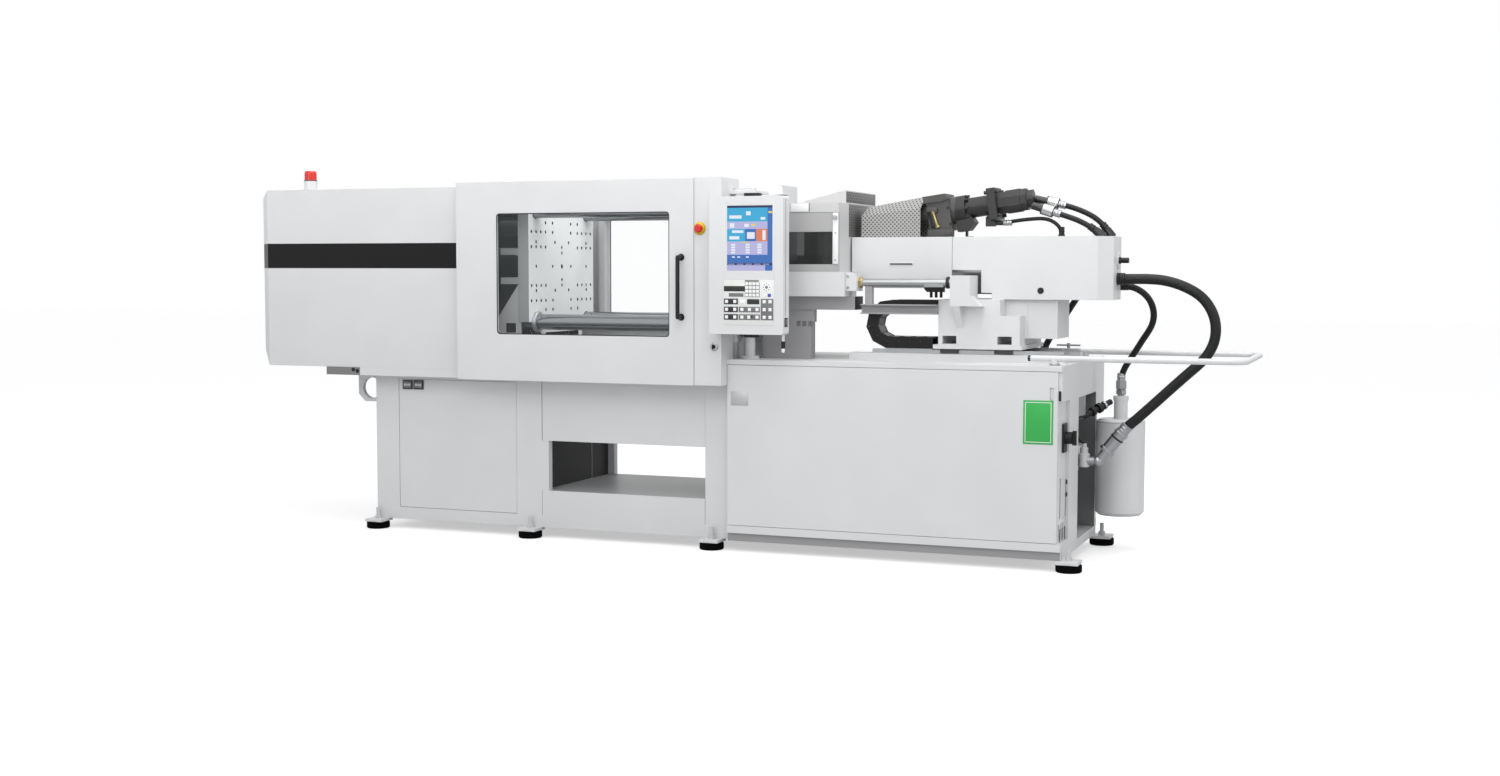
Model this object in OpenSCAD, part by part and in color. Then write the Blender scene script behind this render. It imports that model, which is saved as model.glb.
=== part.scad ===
// Horizontal injection moulding machine: clamping unit on the left, injection unit on the right.
// Millimetres. X runs along the machine, Y from the operator to the rear, Z up from the floor.

/* [Overall] */
// Length over the clamp cover and the guard rail
machine_length = 5154; // [5100:1:5300]
// Height of the clamping and injection axis above the floor
axis_z = 1380; // [1375:1:1385]

/* [Base] */
// Left end of the base frame
base_left_x = -1867; // [-1880:1:-1850]
// Left side of the product bay
bay_left_x = -884; // [-900:1:-870]
// Right side of the product bay
bay_right_x = 18; // [10:1:30]
// Left end of the machine bed
bed_left_x = 156; // [150:1:160]
// Right end of the machine bed
bed_right_x = 1778; // [1760:1:1790]
// Half depth of the base frame
base_half = 402; // [396:1:406]
// Half depth of the machine bed
bed_half = 461; // [455:1:470]
// Height of the underside of the base
base_bottom = 50; // [46:1:60]
// Height of the base frame's top
base_top = 807; // [800:1:812]
// Height of the machine bed's top
bed_top = 932; // [926:1:938]
// Diameter of a rubber foot pad
foot_d = 120; // [100:1:130]
// Height of a rubber foot pad
foot_h = 36; // [30:1:40]
// Distance of the foot centres from the middle plane
foot_y = 428; // [424:1:436]
// Height of the product tray
tray_z = 240; // [220:1:260]

/* [Clamping unit] */
// Distance between tie bar centres
tie_pitch = 570; // [566:1:574]
// Diameter of a tie bar
tie_d = 80; // [70:1:84]
// Width and height of a platen
platen_w = 736; // [730:1:740]
// Mould face of the moving platen, mould open
moving_face_x = -972; // [-990:1:-960]
// Mould face of the fixed platen
fixed_face_x = -10; // [-20:1:0]
// Thickness of the fixed platen
fixed_t = 175; // [160:1:180]
// Diameter of the clamp ram
ram_d = 200; // [180:1:220]
// Diameter of the holes in the lifting lugs
lug_hole_d = 110; // [90:1:116]
// Half depth over the clamp cover
cover_half = 484; // [480:1:486]
// Height of the clamp cover's top
cover_top = 1780; // [1770:1:1790]
// Bevel at the end of the clamp cover
cover_bevel = 97; // [80:1:110]
// Thickness of sheet metal covers
sheet = 4; // [3:0.5:6]

/* [Doors] */
// Left edge of the safety doors
door_left_x = -1294; // [-1310:1:-1280]
// Right edge of the safety doors
door_right_x = 13; // [8:1:14]
// Outer face of the safety doors from the middle plane
door_face = 534; // [530:1:540]
// Thickness of the safety doors
door_t = 45; // [38:1:46]
// Lower edge of the safety doors
door_bottom = 806; // [800:1:812]
// Upper edge of the safety doors
door_top = 1799; // [1792:1:1806]
// Thickness of the door windows
pane_t = 6; // [5:1:8]
// Corner radius of the windows
pane_r = 18; // [10:1:30]

/* [Control panel] */
// Width of the control panel
panel_w = 373; // [360:1:380]
// Height of the control panel
panel_h = 647; // [630:1:660]
// Depth of the control panel
panel_t = 80; // [70:1:82]
// Diameter of the panel post
post_d = 52; // [46:1:56]
// Width of the screen
screen_w = 228; // [210:1:240]
// Height of the screen
screen_h = 304; // [280:1:310]

/* [Injection unit] */
// Half depth of the beam covers
beam_half = 165; // [160:1:170]
// Left end of the beam covers
beam_left_x = 690; // [686:1:700]
// Seam between the two beam covers
beam_seam_x = 1190; // [1180:1:1200]
// Right end of the beam covers
beam_right_x = 1940; // [1920:1:1960]
// Top of the beam covers
beam_top = 1521; // [1515:1:1530]
// Underside of the right beam cover
beam_bottom = 1226; // [1220:1:1230]
// Distance of a slide rail from the middle plane
rail_y = 190; // [186:1:194]
// Rise of the plasticizing screw towards its motor, in degrees
screw_tilt = 8; // [6:0.5:9]
// Diameter of the screw motor over its corners
motor_d = 110; // [104:1:118]
// Diameter of the accumulator
accumulator_d = 236; // [220:1:240]
// Diameter of the guard rail tube
rail_tube_d = 27; // [24:1:30]

/* [Hidden] */
$fn = 48;
overrun = 1;        // how far every cut runs past its surface
fit_gap = 0.3;      // clearance between pieces that slide or turn on each other
seam = 2;           // open seam between neighbouring panels

// Colours of the finishes
white = "#E4E5E6";
grey = "#8F8E8C";
dark = "#3C3C3B";
black = "#151515";
steel = "#B9BCBE";
red = "#C8281E";

// Base frame
post_w = 138;
mid_post_w = 144;
rail_top = 113;
rail_depth = 62;
recess = 10;
panel_top_margin = 17;
apron_bottom = 495;
apron_t = 8;
beam_depth = 130;
apron_back = base_half - recess - seam;
lip_w = 39;
lug_y = 288;
lug_t = 24;
lug_reach = 169;
lug_root = 5;
lug_top = base_top - seam;
lug_h = 147;
lug_chamfer = 40;
lug_hole_x = base_left_x - lug_reach / 2 - seam;
lug_hole_z = lug_top - lug_h / 2;
tray_t = 6;

// Feet
foot_end_inset = 20;
foot_bay_offset = 55;
foot_bay_inset = 45;
foot_end_reach = 35;
foot_xs = [base_left_x + foot_end_inset, bay_left_x - foot_bay_offset,
           bay_right_x + foot_bay_inset, bed_right_x + foot_end_reach];
foot_edge = 5;
tab_w = 100;
tab_back = 60;
screw_d = 20;
screw_top = 108;
nut_d = 34;
nut_h = 16;

// Machine bed
skirt_back = 14;
skirt_top = 90;
panel_bottom = 129;
panel_top = 906;
cabinet_panel_t = 12;
bay_end_y0 = -50;
bay_end_y1 = 410;
bay_end_z0 = 93;
bay_end_z1 = 765;
bay_end_depth = 450;
pad_h = 35;
pad_w = 84;
pad_left_x = 700;
pad_right_x = 1744;
pad_top = bed_top + pad_h;
gallery_face = 628;
gallery_bottom = 702;
gallery_left_x = 900;
louvre_w = 26;
louvre_h = 74;
louvre_pitch = 50;
louvre_depth = 12;
louvre_z = 135;
louvre_y = -430;
louvre_count = 3;
strip_depth = 16;
strip_y1 = -274;
strip_top = 770;
strip_x = bed_right_x - strip_depth;
switch_y = -332;
switch_z = 600;
switch_plate_w = 76;
switch_plate_h = 130;
switch_plate_t = 8;
switch_knob_d = 56;
switch_knob_l = 34;
switch_bar_l = 66;
switch_bar_w = 16;
switch_bar_t = 18;
gauge_y = -330;
gauge_z0 = 235;
gauge_h = 185;
gauge_w = 22;
gauge_t = 12;
handle_slot_w = 18;
handle_slot_h = 70;
handle_slot_depth = 8;

// Clamp bed and platens
cover_left_x = -machine_length / 2;
cover_overhang = 461;
bed_slab_left_x = cover_left_x + cover_overhang;
slab_half = base_half - seam;
slab_top = 850;
drop_left_x = -850;
drop_right_x = -60;
drop_half = 200;
fixed_back_x = fixed_face_x + fixed_t;
platen_half = platen_w / 2;
tie_half = tie_pitch / 2;
platen_foot_w = 120;
platen_foot_y = 210;
nozzle_bore_d = 150;
centre_hole_d = 24;
centre_hole_depth = 45;
bolt_hole_d = 18;
bolt_hole_depth = 40;
hole_col_shares = [0.28, 0.49, 0.63, 0.77, 0.91];
hole_mid_share = 0.21;
hole_row_shares = [0.61, 0.48, 0.34, 0.27, 0.19];
moving_t = 60;
moving_top_share = 0.93;
hub_d = 300;
hub_l = 120;
hub_back_x = moving_face_x - moving_t - hub_l;
rib_t = 34;
rib_y0 = 150;
rib_z = 75;
side_boss_d = 84;
side_boss_hole_d = 36;
side_boss_z = 195;
side_boss_y = 318;
shoe_h = 60;
shoe_w = 186;
shoe_reach = 250;
shoe_y = 340;
gusset_y = 230;
shoe_hole = 46;
gusset_t = 40;
gusset_top = 60;
gusset_foot = 190;
ram_room = 477;
ram_back_x = cover_left_x + ram_room;
tail_room = 937;
tail_front_x = cover_left_x + tail_room;
tail_t = 160;
tail_back_x = tail_front_x - tail_t;
cylinder_d = 420;
cylinder_room = 357;
cylinder_back_x = cover_left_x + cylinder_room;
ram_end_room = 40;
ram_bore_back_x = ram_back_x - ram_end_room;
gland_d = 300;
gland_t = 40;
tie_nut_d = 120;
tie_nut_h = 58;
tie_head_h = 18;

// Clamp cover
cover_right_x = -1240;
cover_bottom = slab_top;
cover_top_bevel = 40;
cover_low_bevel = 78;
lamp_inset = 302;
lamp_x = cover_left_x + lamp_inset;
lamp_y = -380;
lamp_d = 70;
lamp_stem_h = 54;
lamp_lens_h = 50;
lamp_lens_d = 64;

// Doors and columns
track_top = slab_top;
track_web = 12;
track_lip = 8;
track_left_x = bed_slab_left_x;
column_gap = 3;
column_left_x = door_right_x + column_gap;
column_right_x = bed_left_x;
column_top = 1803;
column_bottom = 808;
column_depth = 150;
column_cap_h = 48;
column_cap_depth = 225;
pan_skin = 5;
pan_edge = 26;
window_left_x = -1064;
window_right_x = -115;
window_bottom = 1038;
window_top = 1643;
rear_window_left_x = -947;
rear_window_bottom = 1115;
pane_lap = 14;
grip_d = 20;
grip_x = -52;
grip_z0 = 1135;
grip_z1 = 1423;
grip_reach = 45;
stop_x = 45;
stop_z = 1560;
stop_collar_d = 60;
stop_collar_t = 6;
stop_d = 42;
stop_h = 16;
stop_stem_d = 22;
stop_gap = 7;
key_x = 120;
key_z = 995;
key_d = 30;
key_t = 6;
key_barrel_d = 18;
key_barrel_t = 8;
key_blade_w = 4;
key_blade_h = 12;
key_blade_t = 10;
counter_x0 = -1702;
counter_w = 58;
counter_gap = 8;
counter_h = 47;
counter_z0 = 737;
counter_t = 14;

// Control panel
panel_left_x = 130;
panel_bottom_z = 1060;
panel_face = -624;
panel_back = panel_face + panel_t;
panel_r = 12;
post_x = 224;
post_y = -330;
post_top = 1741;
post_flange_d = 92;
post_flange_h = 14;
sleeve_d = 72;
sleeve_top = 1704;
sleeve_bottom = 1064;
bush_d = 68;
bush_h = 22;
arm_w = 34;
bracket_y0 = -424;
bracket_t = 14;
bracket_right_x = 300;
bracket_bend_x = 192;
bracket_strap = 50;
screen_z_gap = 44;
screen_x_gap = 92;
screen_recess = 6;
screen_t = 5;
key_field_w = 250;
key_field_h = 184;
key_field_x_gap = 77;
key_field_gap = 42;
key_field_t = 2;
key_cap_t = 2;
key_size = 22;
key_pitch_x = 27;
key_pitch_z = 34;
key_columns = 9;
key_rows = 3;
key_low_margin = 12;
pad_key = 15;
pad_pitch = 19;
pad_left = 108;
pad_count = 4;
dial_d = 46;
dial_x = 218;
dial_z = 143;
stylus_d = 14;
stylus_x = 490;
stylus_h = 80;

// Nozzle guard, skirt and pedestal
guard_left_x = 270;
guard_right_x = 682;
guard_half = 330;
guard_bottom = 1354;
guard_top = 1683;
guard_band_z = 1638;
guard_band_t = 15;
guard_post_w = 31;
hood_left_x = 470;
hood_half = 240;
hood_low = 12;
hood_high = 62;
purge_door_t = 12;
purge_win_z0 = 1390;
purge_win_z1 = 1545;
purge_edge = 30;
purge_pane_t = 5;
barrel_hole_d = 190;
skirt_right_x = 712;
skirt_half = 346;
skirt_bottom = 1237;
lower_right_x = 745;
lower_half = 285;
lower_bottom = 1172;
skirt_deep_x = 540;
skirt_front_y = -160;
pedestal_right_x = 535;
pedestal_half = 275;
pedestal_deep_x = 350;
pedestal_front_t = 40;
pedestal_step = 14;
pedestal_step_z = 1112;
vent_w = 20;
vent_h = 26;
vent_pitch = 30;
vent_depth = 8;
vent_x = 445;
vent_z = 1090;
vent_count = 3;

// Carriage
slide_rail_w = 40;
slide_rail_h = 19;
slide_rail_top = pad_top + slide_rail_h;
slide_left_x = 812;
slide_right_x = 1735;
block_h = 22;
block_w = 70;
block_l = 86;
block_low = 3;
block_xs = [1150, 1410];
saddle_bottom = pad_top + block_low + block_h;
saddle_plate_t = 20;
saddle_left_x = 1120;
saddle_right_x = 1545;
saddle_body_left_x = 1145;
saddle_body_right_x = 1535;
saddle_half = 245;
saddle_step_z = 1150;
saddle_step_x = 1442;
pocket_z0 = 1016;
pocket_h = 38;
pocket_w = 68;
pocket_xs = [1165, 1429];
horn_x0 = 1220;
horn_x1 = 1315;
horn_y = -320;
horn_z0 = 1195;
horn_z1 = 1338;
horn_gusset = 50;
horn_rib_t = 30;
horn_rib_drop = 105;
beam_end_bevel = 62;
left_cover_bottom = 1320;
notch_right_x = 1331;
notch_top = 1364;
notch_step_x = 1382;
notch_step_z = 1256;
slot_x0 = 890;
slot_w = 112;
slot_h = 12;
slot_z = 1392;
slot_depth = 2;
stub_y = 20;
stub_z = 1410;
stub_d = 24;
stub_l = 48;
stub_flange_d = 76;
stub_flange_t = 5;
barrel_d = 90;
band_d = 112;
band_l = 62;
band_pitch = 74;
band_x = 300;
band_count = 5;
nozzle_tip_x = 30;
nozzle_tip_d = 34;
nozzle_d = 58;
nozzle_cone_x = 120;
nozzle_hex_x = 170;
barrel_front_x = 215;
head_d = 210;
head_x = 720;
shot_d = 264;
shot_x0 = 1210;
shot_x1 = 1900;
shot_foot_half = 90;
carriage_cyl_y = -282;
carriage_cyl_z = 1304;
carriage_cyl_d = 36;
carriage_cyl_bore = 24;
carriage_cyl_x0 = 790;
carriage_head_d = 50;
carriage_head_l = 10;
carriage_head_x = 1196;
port_x0 = 1090;
port_x1 = 1182;
port_h = 44;
port_w = 34;
port_corner = 14;
fitting_d = 14;
fitting_h = 26;
fitting_pitch = 24;
rod_d = 16;
rod_end_x = 1060;
anchor_x0 = skirt_right_x;
anchor_x1 = 767;
anchor_z0 = 1263;
anchor_z1 = 1350;
anchor_y0 = -330;
anchor_y1 = -232;
anchor_nut_d = 34;
anchor_nut_l = 18;
tray_web_y = -262;
tray_web_t = 6;
tray_flange = 24;
chain_tray_left_x = 772;
chain_tray_z0 = 1154;
chain_tray_z1 = 1201;
hanger_x0 = 795;
hanger_w = 37;

// Drag chain
chain_y0 = -228;
chain_w = 120;
chain_h = 56;
chain_wall = 9;
chain_bar = 9;
chain_r = 88;
chain_low_z = 1018;
chain_turn_x = 901;
chain_low_end_x = 1112;
chain_high_end_x = saddle_body_left_x;
chain_links = 13;
chain_pin_d = 14;
chain_pin_over = 1.5;
link_gap = 3;
link_inner_share = 0.62;
chain_shelf_x0 = 880;

// Plasticizing unit
guard_y = 100;
barrel_guard_x0 = 716;
barrel_guard_x1 = 1012;
barrel_guard_z = beam_top;
mesh_low_h0 = 104;
mesh_low_h1 = 142;
mesh_ridge_h0 = 150;
mesh_ridge_h1 = 200;
mesh_t = 3;
screw_pivot_x = 1187;
screw_pivot_z = 1655;
screw_tube_d = 84;
screw_tube_x0 = -440;
screw_block_x0 = -146;
screw_block_x1 = -36;
screw_block_w = 150;
screw_block_h0 = -92;
screw_block_h1 = 48;
screw_cap_h = 34;
screw_cap_over = 12;
screw_ring_d = 131;
screw_ring_l = 70;
screw_neck_d = 97;
screw_flange_w = 150;
screw_flange_l = 40;
screw_flange_x = 150;
ring_bolts = 8;
ring_bolt_r = 57;
ring_bolt_d = 14;
ring_bolt_l = 16;
flange_bolt_d = 18;
flange_bolt_l = 14;
flange_bolt_at = 57;
sump_x0 = -20;
sump_x1 = 70;
sump_half = 40;
sump_low = -107;
sump_nose = 34;
motor_x0 = screw_flange_x + screw_flange_l;
motor_l = 140;
motor_sides = 8;
motor_step_l = 40;
motor_step_over = 4;
motor_cap_d = 84;
motor_cap_l = 30;
port_stub_d = 36;
port_collar_d = 54;
port_collar_l = 58;
motor_hose_y = 22;
port_a_x = 1546;
port_a_z = 1702;
port_b_x = 1538;
port_b_z = 1670;
port_a_base = [port_a_x, motor_hose_y, port_a_z];
port_b_base = [port_b_x, -motor_hose_y, port_b_z];
drain_block_x0 = 1318;
drain_block_l = 44;
drain_block_w = 34;
drain_block_z0 = 1572;
drain_block_h = 46;
drain_stub_d = 24;
screw_foot_w = 90;
screw_foot_x0 = 1060;
screw_foot_l = 60;
valve_x0 = saddle_step_x;
valve_low_x0 = saddle_body_right_x;
valve_step_z = saddle_step_z;
valve_x1 = 1690;
valve_half = 140;
valve_bottom = 1043;
valve_recess = 4;
valve_rim = 14;

// Services
rail_z = 963;
rail_half = 380;
rail_front_x = 1610;
rail_rear_x = 1700;
rail_corner = 70;
rail_boss_x = 1727;
rail_boss_d = 34;
t_x = 1655;
t_y = 320;
t_boss_d = 44;
t_boss_h = 24;
t_stem_d = 16;
t_top = 1006;
t_bar_d = 10;
t_bar_l = 116;
accumulator_x = 1913;
accumulator_y = 330;
accumulator_z0 = 170;
accumulator_z1 = 640;
accumulator_r = 16;
neck_d = 66;
neck_top = 752;
neck_collar_d = 74;
neck_collar_h = 22;
strap_z0 = 250;
strap_z1 = 520;
strap_h = 36;
strap_t = 12;
tank_x = 1560;
tank_y = 180;
tank_d = 410;
tank_z0 = 650;
tank_band_h = 14;
tank_band_over = 3;
tank_band_z = 668;
filter_x = 1690;
filter_y = 190;
filter_w = 150;
filter_z0 = 440;
filter_z1 = 520;
filter_leg_w = 60;
filter_neck_d = 70;
filter_neck_h = 40;
filter_bowl_d = 90;
filter_bowl_h = 46;
main_pipe_d = 44;
main_pipe_z = 462;
main_elbow_x = 1862;
main_elbow_d = 54;
main_hose_d = 48;
sleeve_hose_d = 62;
sleeve_hose_l = 120;
return_hose_d = 31;
return_gland_d = 50;
return_gland_h = 40;
return_gland_z = 826;
motor_hose_d = 26;
drain_hose_d = 18;
hose_sides = 10;
hose_seat = 0.1;       // a hose stops this short of the face it meets

// Hose routes
main_route = [[1940, 0, 1323], [2010, 0, 1323], [2080, 0, 1323], [2153, 0, 1317], [2224, 0, 1298],
  [2290, 0, 1267], [2333, 0, 1234], [2365, 0, 1192], [2386, 0, 1142], [2393, 0, 1089], [2386, 0, 1036],
  [2365, 0, 987], [2333, 0, 944], [2262, 0, 877], [2191, 0, 810], [2120, 0, 742], [2049, 0, 675],
  [1978, 0, 608]];
return_route = [[1940, 110, 1289], [1970, 115, 1288], [2005, 124, 1279], [2040, 139, 1257],
  [2067, 158, 1224], [2082, 178, 1181], [2082, 198, 1136], [2067, 219, 1093], [2024, 253, 1029],
  [1979, 289, 963], [1935, 319, 897], [1919, 328, 861], [1913, 330, 826]];
motor_a_route = [[1656, 22, 1676], [1713, 22, 1662], [1770, 22, 1641], [1822, 22, 1614],
  [1863, 22, 1580], [1886, 22, 1552]];
motor_b_route = [[1640, -22, 1637], [1697, -22, 1619], [1752, -22, 1599], [1802, -22, 1574],
  [1840, -22, 1549]];
drain_route = [[1405, -20, 1589], [1450, -20, 1596], [1496, -20, 1602], [1542, -20, 1606],
  [1586, -20, 1607], [1622, -20, 1600], [1652, -20, 1583], [1673, -20, 1558], [1680, -20, 1530]];
rear_route = [[1800, 185, 1400], [1772, 213, 1345], [1742, 236, 1290], [1708, 255, 1236],
  [1672, 268, 1182], [1636, 275, 1128], [1600, 278, 1074], [1565, 279, 1022], [1545, 279, 966]];

// Roof and side glands of the hoses on the beam cover
gland_over = 14;
gland_sink = 3;
gland_a_x = 1913;
gland_b_x = 1882;
gland_r_x = 1824;
gland_r_sink = 2;
gland_r_z = 1446;
gland_a_base = [gland_a_x, motor_hose_y, beam_top - gland_sink];
gland_b_base = [gland_b_x, -motor_hose_y, beam_top - gland_sink];
gland_r_base = [gland_r_x, beam_half - gland_r_sink, gland_r_z];
rear_gland_d = 50;
rear_hose_d = 31;

// A block between two opposite corners
module block(x0, x1, y0, y1, z0, z1) {
  translate([x0, y0, z0]) cube([x1 - x0, y1 - y0, z1 - z0]);
}

// A block that lies evenly on both sides of the middle plane
module centred_block(x0, x1, half, z0, z1) {
  block(x0, x1, -half, half, z0, z1);
}

// The children and their mirror image behind the middle plane
module both_sides() {
  children();
  mirror([0, 1, 0]) children();
}

// The children behind the middle plane only
module far_side() {
  mirror([0, 1, 0]) children();
}

module rod_x(x0, x1, y, z, d) {
  translate([x0, y, z]) rotate([0, 90, 0]) cylinder(d = d, h = x1 - x0);
}

module rod_y(x, y0, y1, z, d) {
  translate([x, y1, z]) rotate([90, 0, 0]) cylinder(d = d, h = y1 - y0);
}

module rod_z(x, y, z0, z1, d) {
  translate([x, y, z0]) cylinder(d = d, h = z1 - z0);
}

// A round bar from one point to another
module rod_between(p, q, d) {
  run = q - p;
  translate(p) rotate([0, acos(run[2] / norm(run)), atan2(run[1], run[0])]) cylinder(d = d, h = norm(run));
}

// A side outline in X and Z, extruded through Y
module side_plate(points, y0, y1) {
  translate([0, y1, 0]) rotate([90, 0, 0]) linear_extrude(y1 - y0) polygon(points);
}

// An end outline in Y and Z, extruded through X
module end_plate(points, x0, x1) {
  translate([x0, 0, 0]) rotate([90, 0, 90]) linear_extrude(x1 - x0) polygon(points);
}

// A plate in X and Z with round corners
module round_plate(x0, x1, y0, y1, z0, z1, r) {
  block(x0 + r, x1 - r, y0, y1, z0, z1);
  block(x0, x1, y0, y1, z0 + r, z1 - r);
  for (x = [x0 + r, x1 - r], z = [z0 + r, z1 - r]) rod_y(x, y0, y1, z, 2 * r);
}

// Ring of points round one station of a hose
function unit(v) = v / norm(v);
function heading(route, i) =
  unit(route[min(i + 1, len(route) - 1)] - route[max(i - 1, 0)]);
function station(p, t, d) =
  let (side = unit(cross(t, [0, 1, 0])), up = cross(side, t))
  [for (k = [0:hose_sides - 1])
    let (a = 360 * k / hose_sides) p + d / 2 * (cos(a) * side + sin(a) * up)];

// A hose of one diameter along its route, with chosen headings at both ends
module hose(route, d, first, last) {
  n = len(route);
  heads = [for (i = [0:n - 1]) i == 0 ? first : (i == n - 1 ? last : heading(route, i))];
  shift = [for (i = [0:n - 1]) i == 0 ? hose_seat : (i == n - 1 ? -hose_seat : 0)];
  points = [for (i = [0:n - 1]) each station(route[i] + shift[i] * heads[i], heads[i], d)];
  sides = [for (i = [0:n - 2], k = [0:hose_sides - 1])
    let (a = i * hose_sides + k, b = i * hose_sides + (k + 1) % hose_sides)
    [a, b, b + hose_sides, a + hose_sides]];
  near = [for (k = [hose_sides - 1:-1:0]) k];
  far = [for (k = [0:hose_sides - 1]) (n - 1) * hose_sides + k];
  polyhedron(points, concat([near, far], sides));
}

// Left base: two closed boxes, rails below and beams above the product bay, and two lifting lugs
module lug() {
  left = base_left_x - lug_reach;
  root = base_left_x + lug_root;
  low = lug_top - lug_h;
  difference() {
    side_plate([[root, low], [root, lug_top], [left, lug_top],
                [left, low + lug_chamfer], [left + lug_chamfer, low]], lug_y, lug_y + lug_t);
    rod_y(lug_hole_x, lug_y - overrun, lug_y + lug_t + overrun, lug_hole_z, lug_hole_d);
  }
}

module base_frame() color(white) {
  difference() {
    centred_block(base_left_x, bay_left_x, base_half, base_bottom, base_top);
    both_sides() block(base_left_x + post_w, bay_left_x - mid_post_w, base_half - recess,
      base_half + overrun, rail_top, base_top - panel_top_margin);
  }
  centred_block(bay_right_x, bed_left_x, base_half, base_bottom, base_top);
  both_sides() {
    block(bay_left_x, bay_right_x, base_half - rail_depth, base_half, base_bottom, rail_top);
    block(bay_left_x, bay_right_x, apron_back - beam_depth, apron_back, apron_bottom, base_top);
    block(bay_left_x, bay_left_x + lip_w, base_half - lip_w, base_half, tray_z, apron_bottom);
    lug();
  }
}

// Folded product tray on the bay's rails
module chute_tray() color(white) {
  x0 = bay_left_x + seam;
  x1 = bay_right_x - seam;
  centred_block(x0, x1, base_half, tray_z - tray_t, tray_z);
  block(x0, x1, -base_half, -base_half + tray_t, rail_top, tray_z - tray_t);
  block(x0, x1, base_half - tray_t, base_half, rail_top, tray_z - tray_t);
}

// Sheet panels of the left base and aprons over the product bay
module left_base_panels() color(white) both_sides() {
  block(base_left_x + post_w + seam, bay_left_x - mid_post_w - seam, base_half - recess,
    base_half - seam, rail_top + seam, base_top - panel_top_margin - seam);
  block(bay_left_x + seam, bay_right_x - seam, apron_back, apron_back + apron_t, apron_bottom,
    base_top - seam);
}

// Right base with its end bay, rail pads and rear gallery
module machine_bed() color(white) {
  inner = bed_half - skirt_back;
  flush = bed_half - cabinet_panel_t;
  difference() {
    union() {
      centred_block(bed_left_x, bed_right_x, inner, base_bottom, skirt_top);
      centred_block(bed_left_x, bed_right_x, bed_half, skirt_top, panel_bottom - seam);
      centred_block(bed_left_x, bed_right_x, flush, panel_bottom - seam, panel_top + seam);
      centred_block(bed_left_x, bed_right_x, bed_half, panel_top + seam, bed_top);
      both_sides() block(pad_left_x, pad_right_x, rail_y - pad_w / 2, rail_y + pad_w / 2,
        bed_top, pad_top);
      block(gallery_left_x, bed_right_x, flush, gallery_face, gallery_bottom, bed_top);
    }
    block(strip_x, bed_right_x + overrun, -bed_half - overrun, strip_y1, panel_bottom - seam, strip_top);
    block(bed_right_x - bay_end_depth, bed_right_x + overrun, bay_end_y0, bay_end_y1,
      bay_end_z0, bay_end_z1);
    for (i = [0:louvre_count - 1]) block(strip_x - louvre_depth, strip_x + overrun,
      louvre_y + i * louvre_pitch, louvre_y + i * louvre_pitch + louvre_w,
      louvre_z, louvre_z + louvre_h);
  }
  block(strip_x, strip_x + switch_plate_t, switch_y - switch_plate_w / 2,
    switch_y + switch_plate_w / 2, switch_z - switch_plate_h / 2, switch_z + switch_plate_h / 2);
  block(strip_x, strip_x + gauge_t, gauge_y - gauge_w / 2, gauge_y + gauge_w / 2,
    gauge_z0, gauge_z0 + gauge_h);
}

// Large lift-off panels of the right base
module cabinet_panel(x1) {
  x0 = bed_left_x + seam;
  difference() {
    block(x0, x1, bed_half - cabinet_panel_t, bed_half, panel_bottom, panel_top);
    block(x1 - 2 * handle_slot_w, x1 - handle_slot_w, bed_half - handle_slot_depth,
      bed_half + overrun, panel_top - 2 * handle_slot_h, panel_top - handle_slot_h);
  }
}

module cabinet_panels() color(white) {
  far_side() cabinet_panel(strip_x - seam);
  cabinet_panel(gallery_left_x - seam);
  block(gallery_left_x, bed_right_x - seam, bed_half - cabinet_panel_t, bed_half,
    panel_bottom, gallery_bottom - seam);
}

module each_foot() {
  for (x = foot_xs) both_sides() translate([x, foot_y, 0]) children();
}

// Round rubber pads with an eased lower edge
module foot_pads() color(black) each_foot() rotate_extrude() polygon([
  [0, 0], [foot_d / 2 - foot_edge, 0], [foot_d / 2, foot_edge], [foot_d / 2, foot_h - foot_edge],
  [foot_d / 2 - foot_edge, foot_h], [0, foot_h]]);

// Welded foot plates, their levelling screws and lock nuts
module levelling_screws() color(white) each_foot() {
  translate([-tab_w / 2, -tab_back, foot_h]) cube([tab_w, tab_back + tab_w / 2, base_bottom - foot_h]);
  translate([0, 0, foot_h]) cylinder(d = screw_d, h = screw_top - foot_h);
  translate([0, 0, base_bottom]) cylinder(d = nut_d, h = nut_h, $fn = 6);
}

// Slab that carries the platens, with the opening that parts drop through
module clamp_bed() color(white) difference() {
  centred_block(bed_slab_left_x, bed_left_x, slab_half, base_top, slab_top);
  centred_block(drop_left_x, drop_right_x, drop_half, base_top - overrun, slab_top + overrun);
}

// Outer form of the clamp cover, drawn in by the given wall
module cover_form(wall, right) {
  left = cover_left_x + wall;
  half = cover_half - wall;
  top = cover_top - wall;
  low = cover_bottom;
  intersection() {
    translate([0, 0, low]) linear_extrude(top - low) polygon([
      [left, -half + cover_bevel], [left + cover_bevel, -half], [right, -half],
      [right, half], [left + cover_bevel, half], [left, half - cover_bevel]]);
    side_plate([[left, low + cover_low_bevel], [left + cover_bevel, low], [right, low],
      [right, top], [left + cover_bevel, top], [left, top - cover_top_bevel]], -half, half);
  }
}

// Folded clamp cover, open below and towards the mould
module clamp_cover() color(white) difference() {
  cover_form(0, cover_right_x);
  translate([0, 0, -overrun]) cover_form(sheet, cover_right_x + overrun);
  centred_block(cover_left_x + cover_bevel, cover_right_x + overrun, cover_half - sheet,
    cover_bottom - overrun, cover_bottom + sheet);
}

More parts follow.
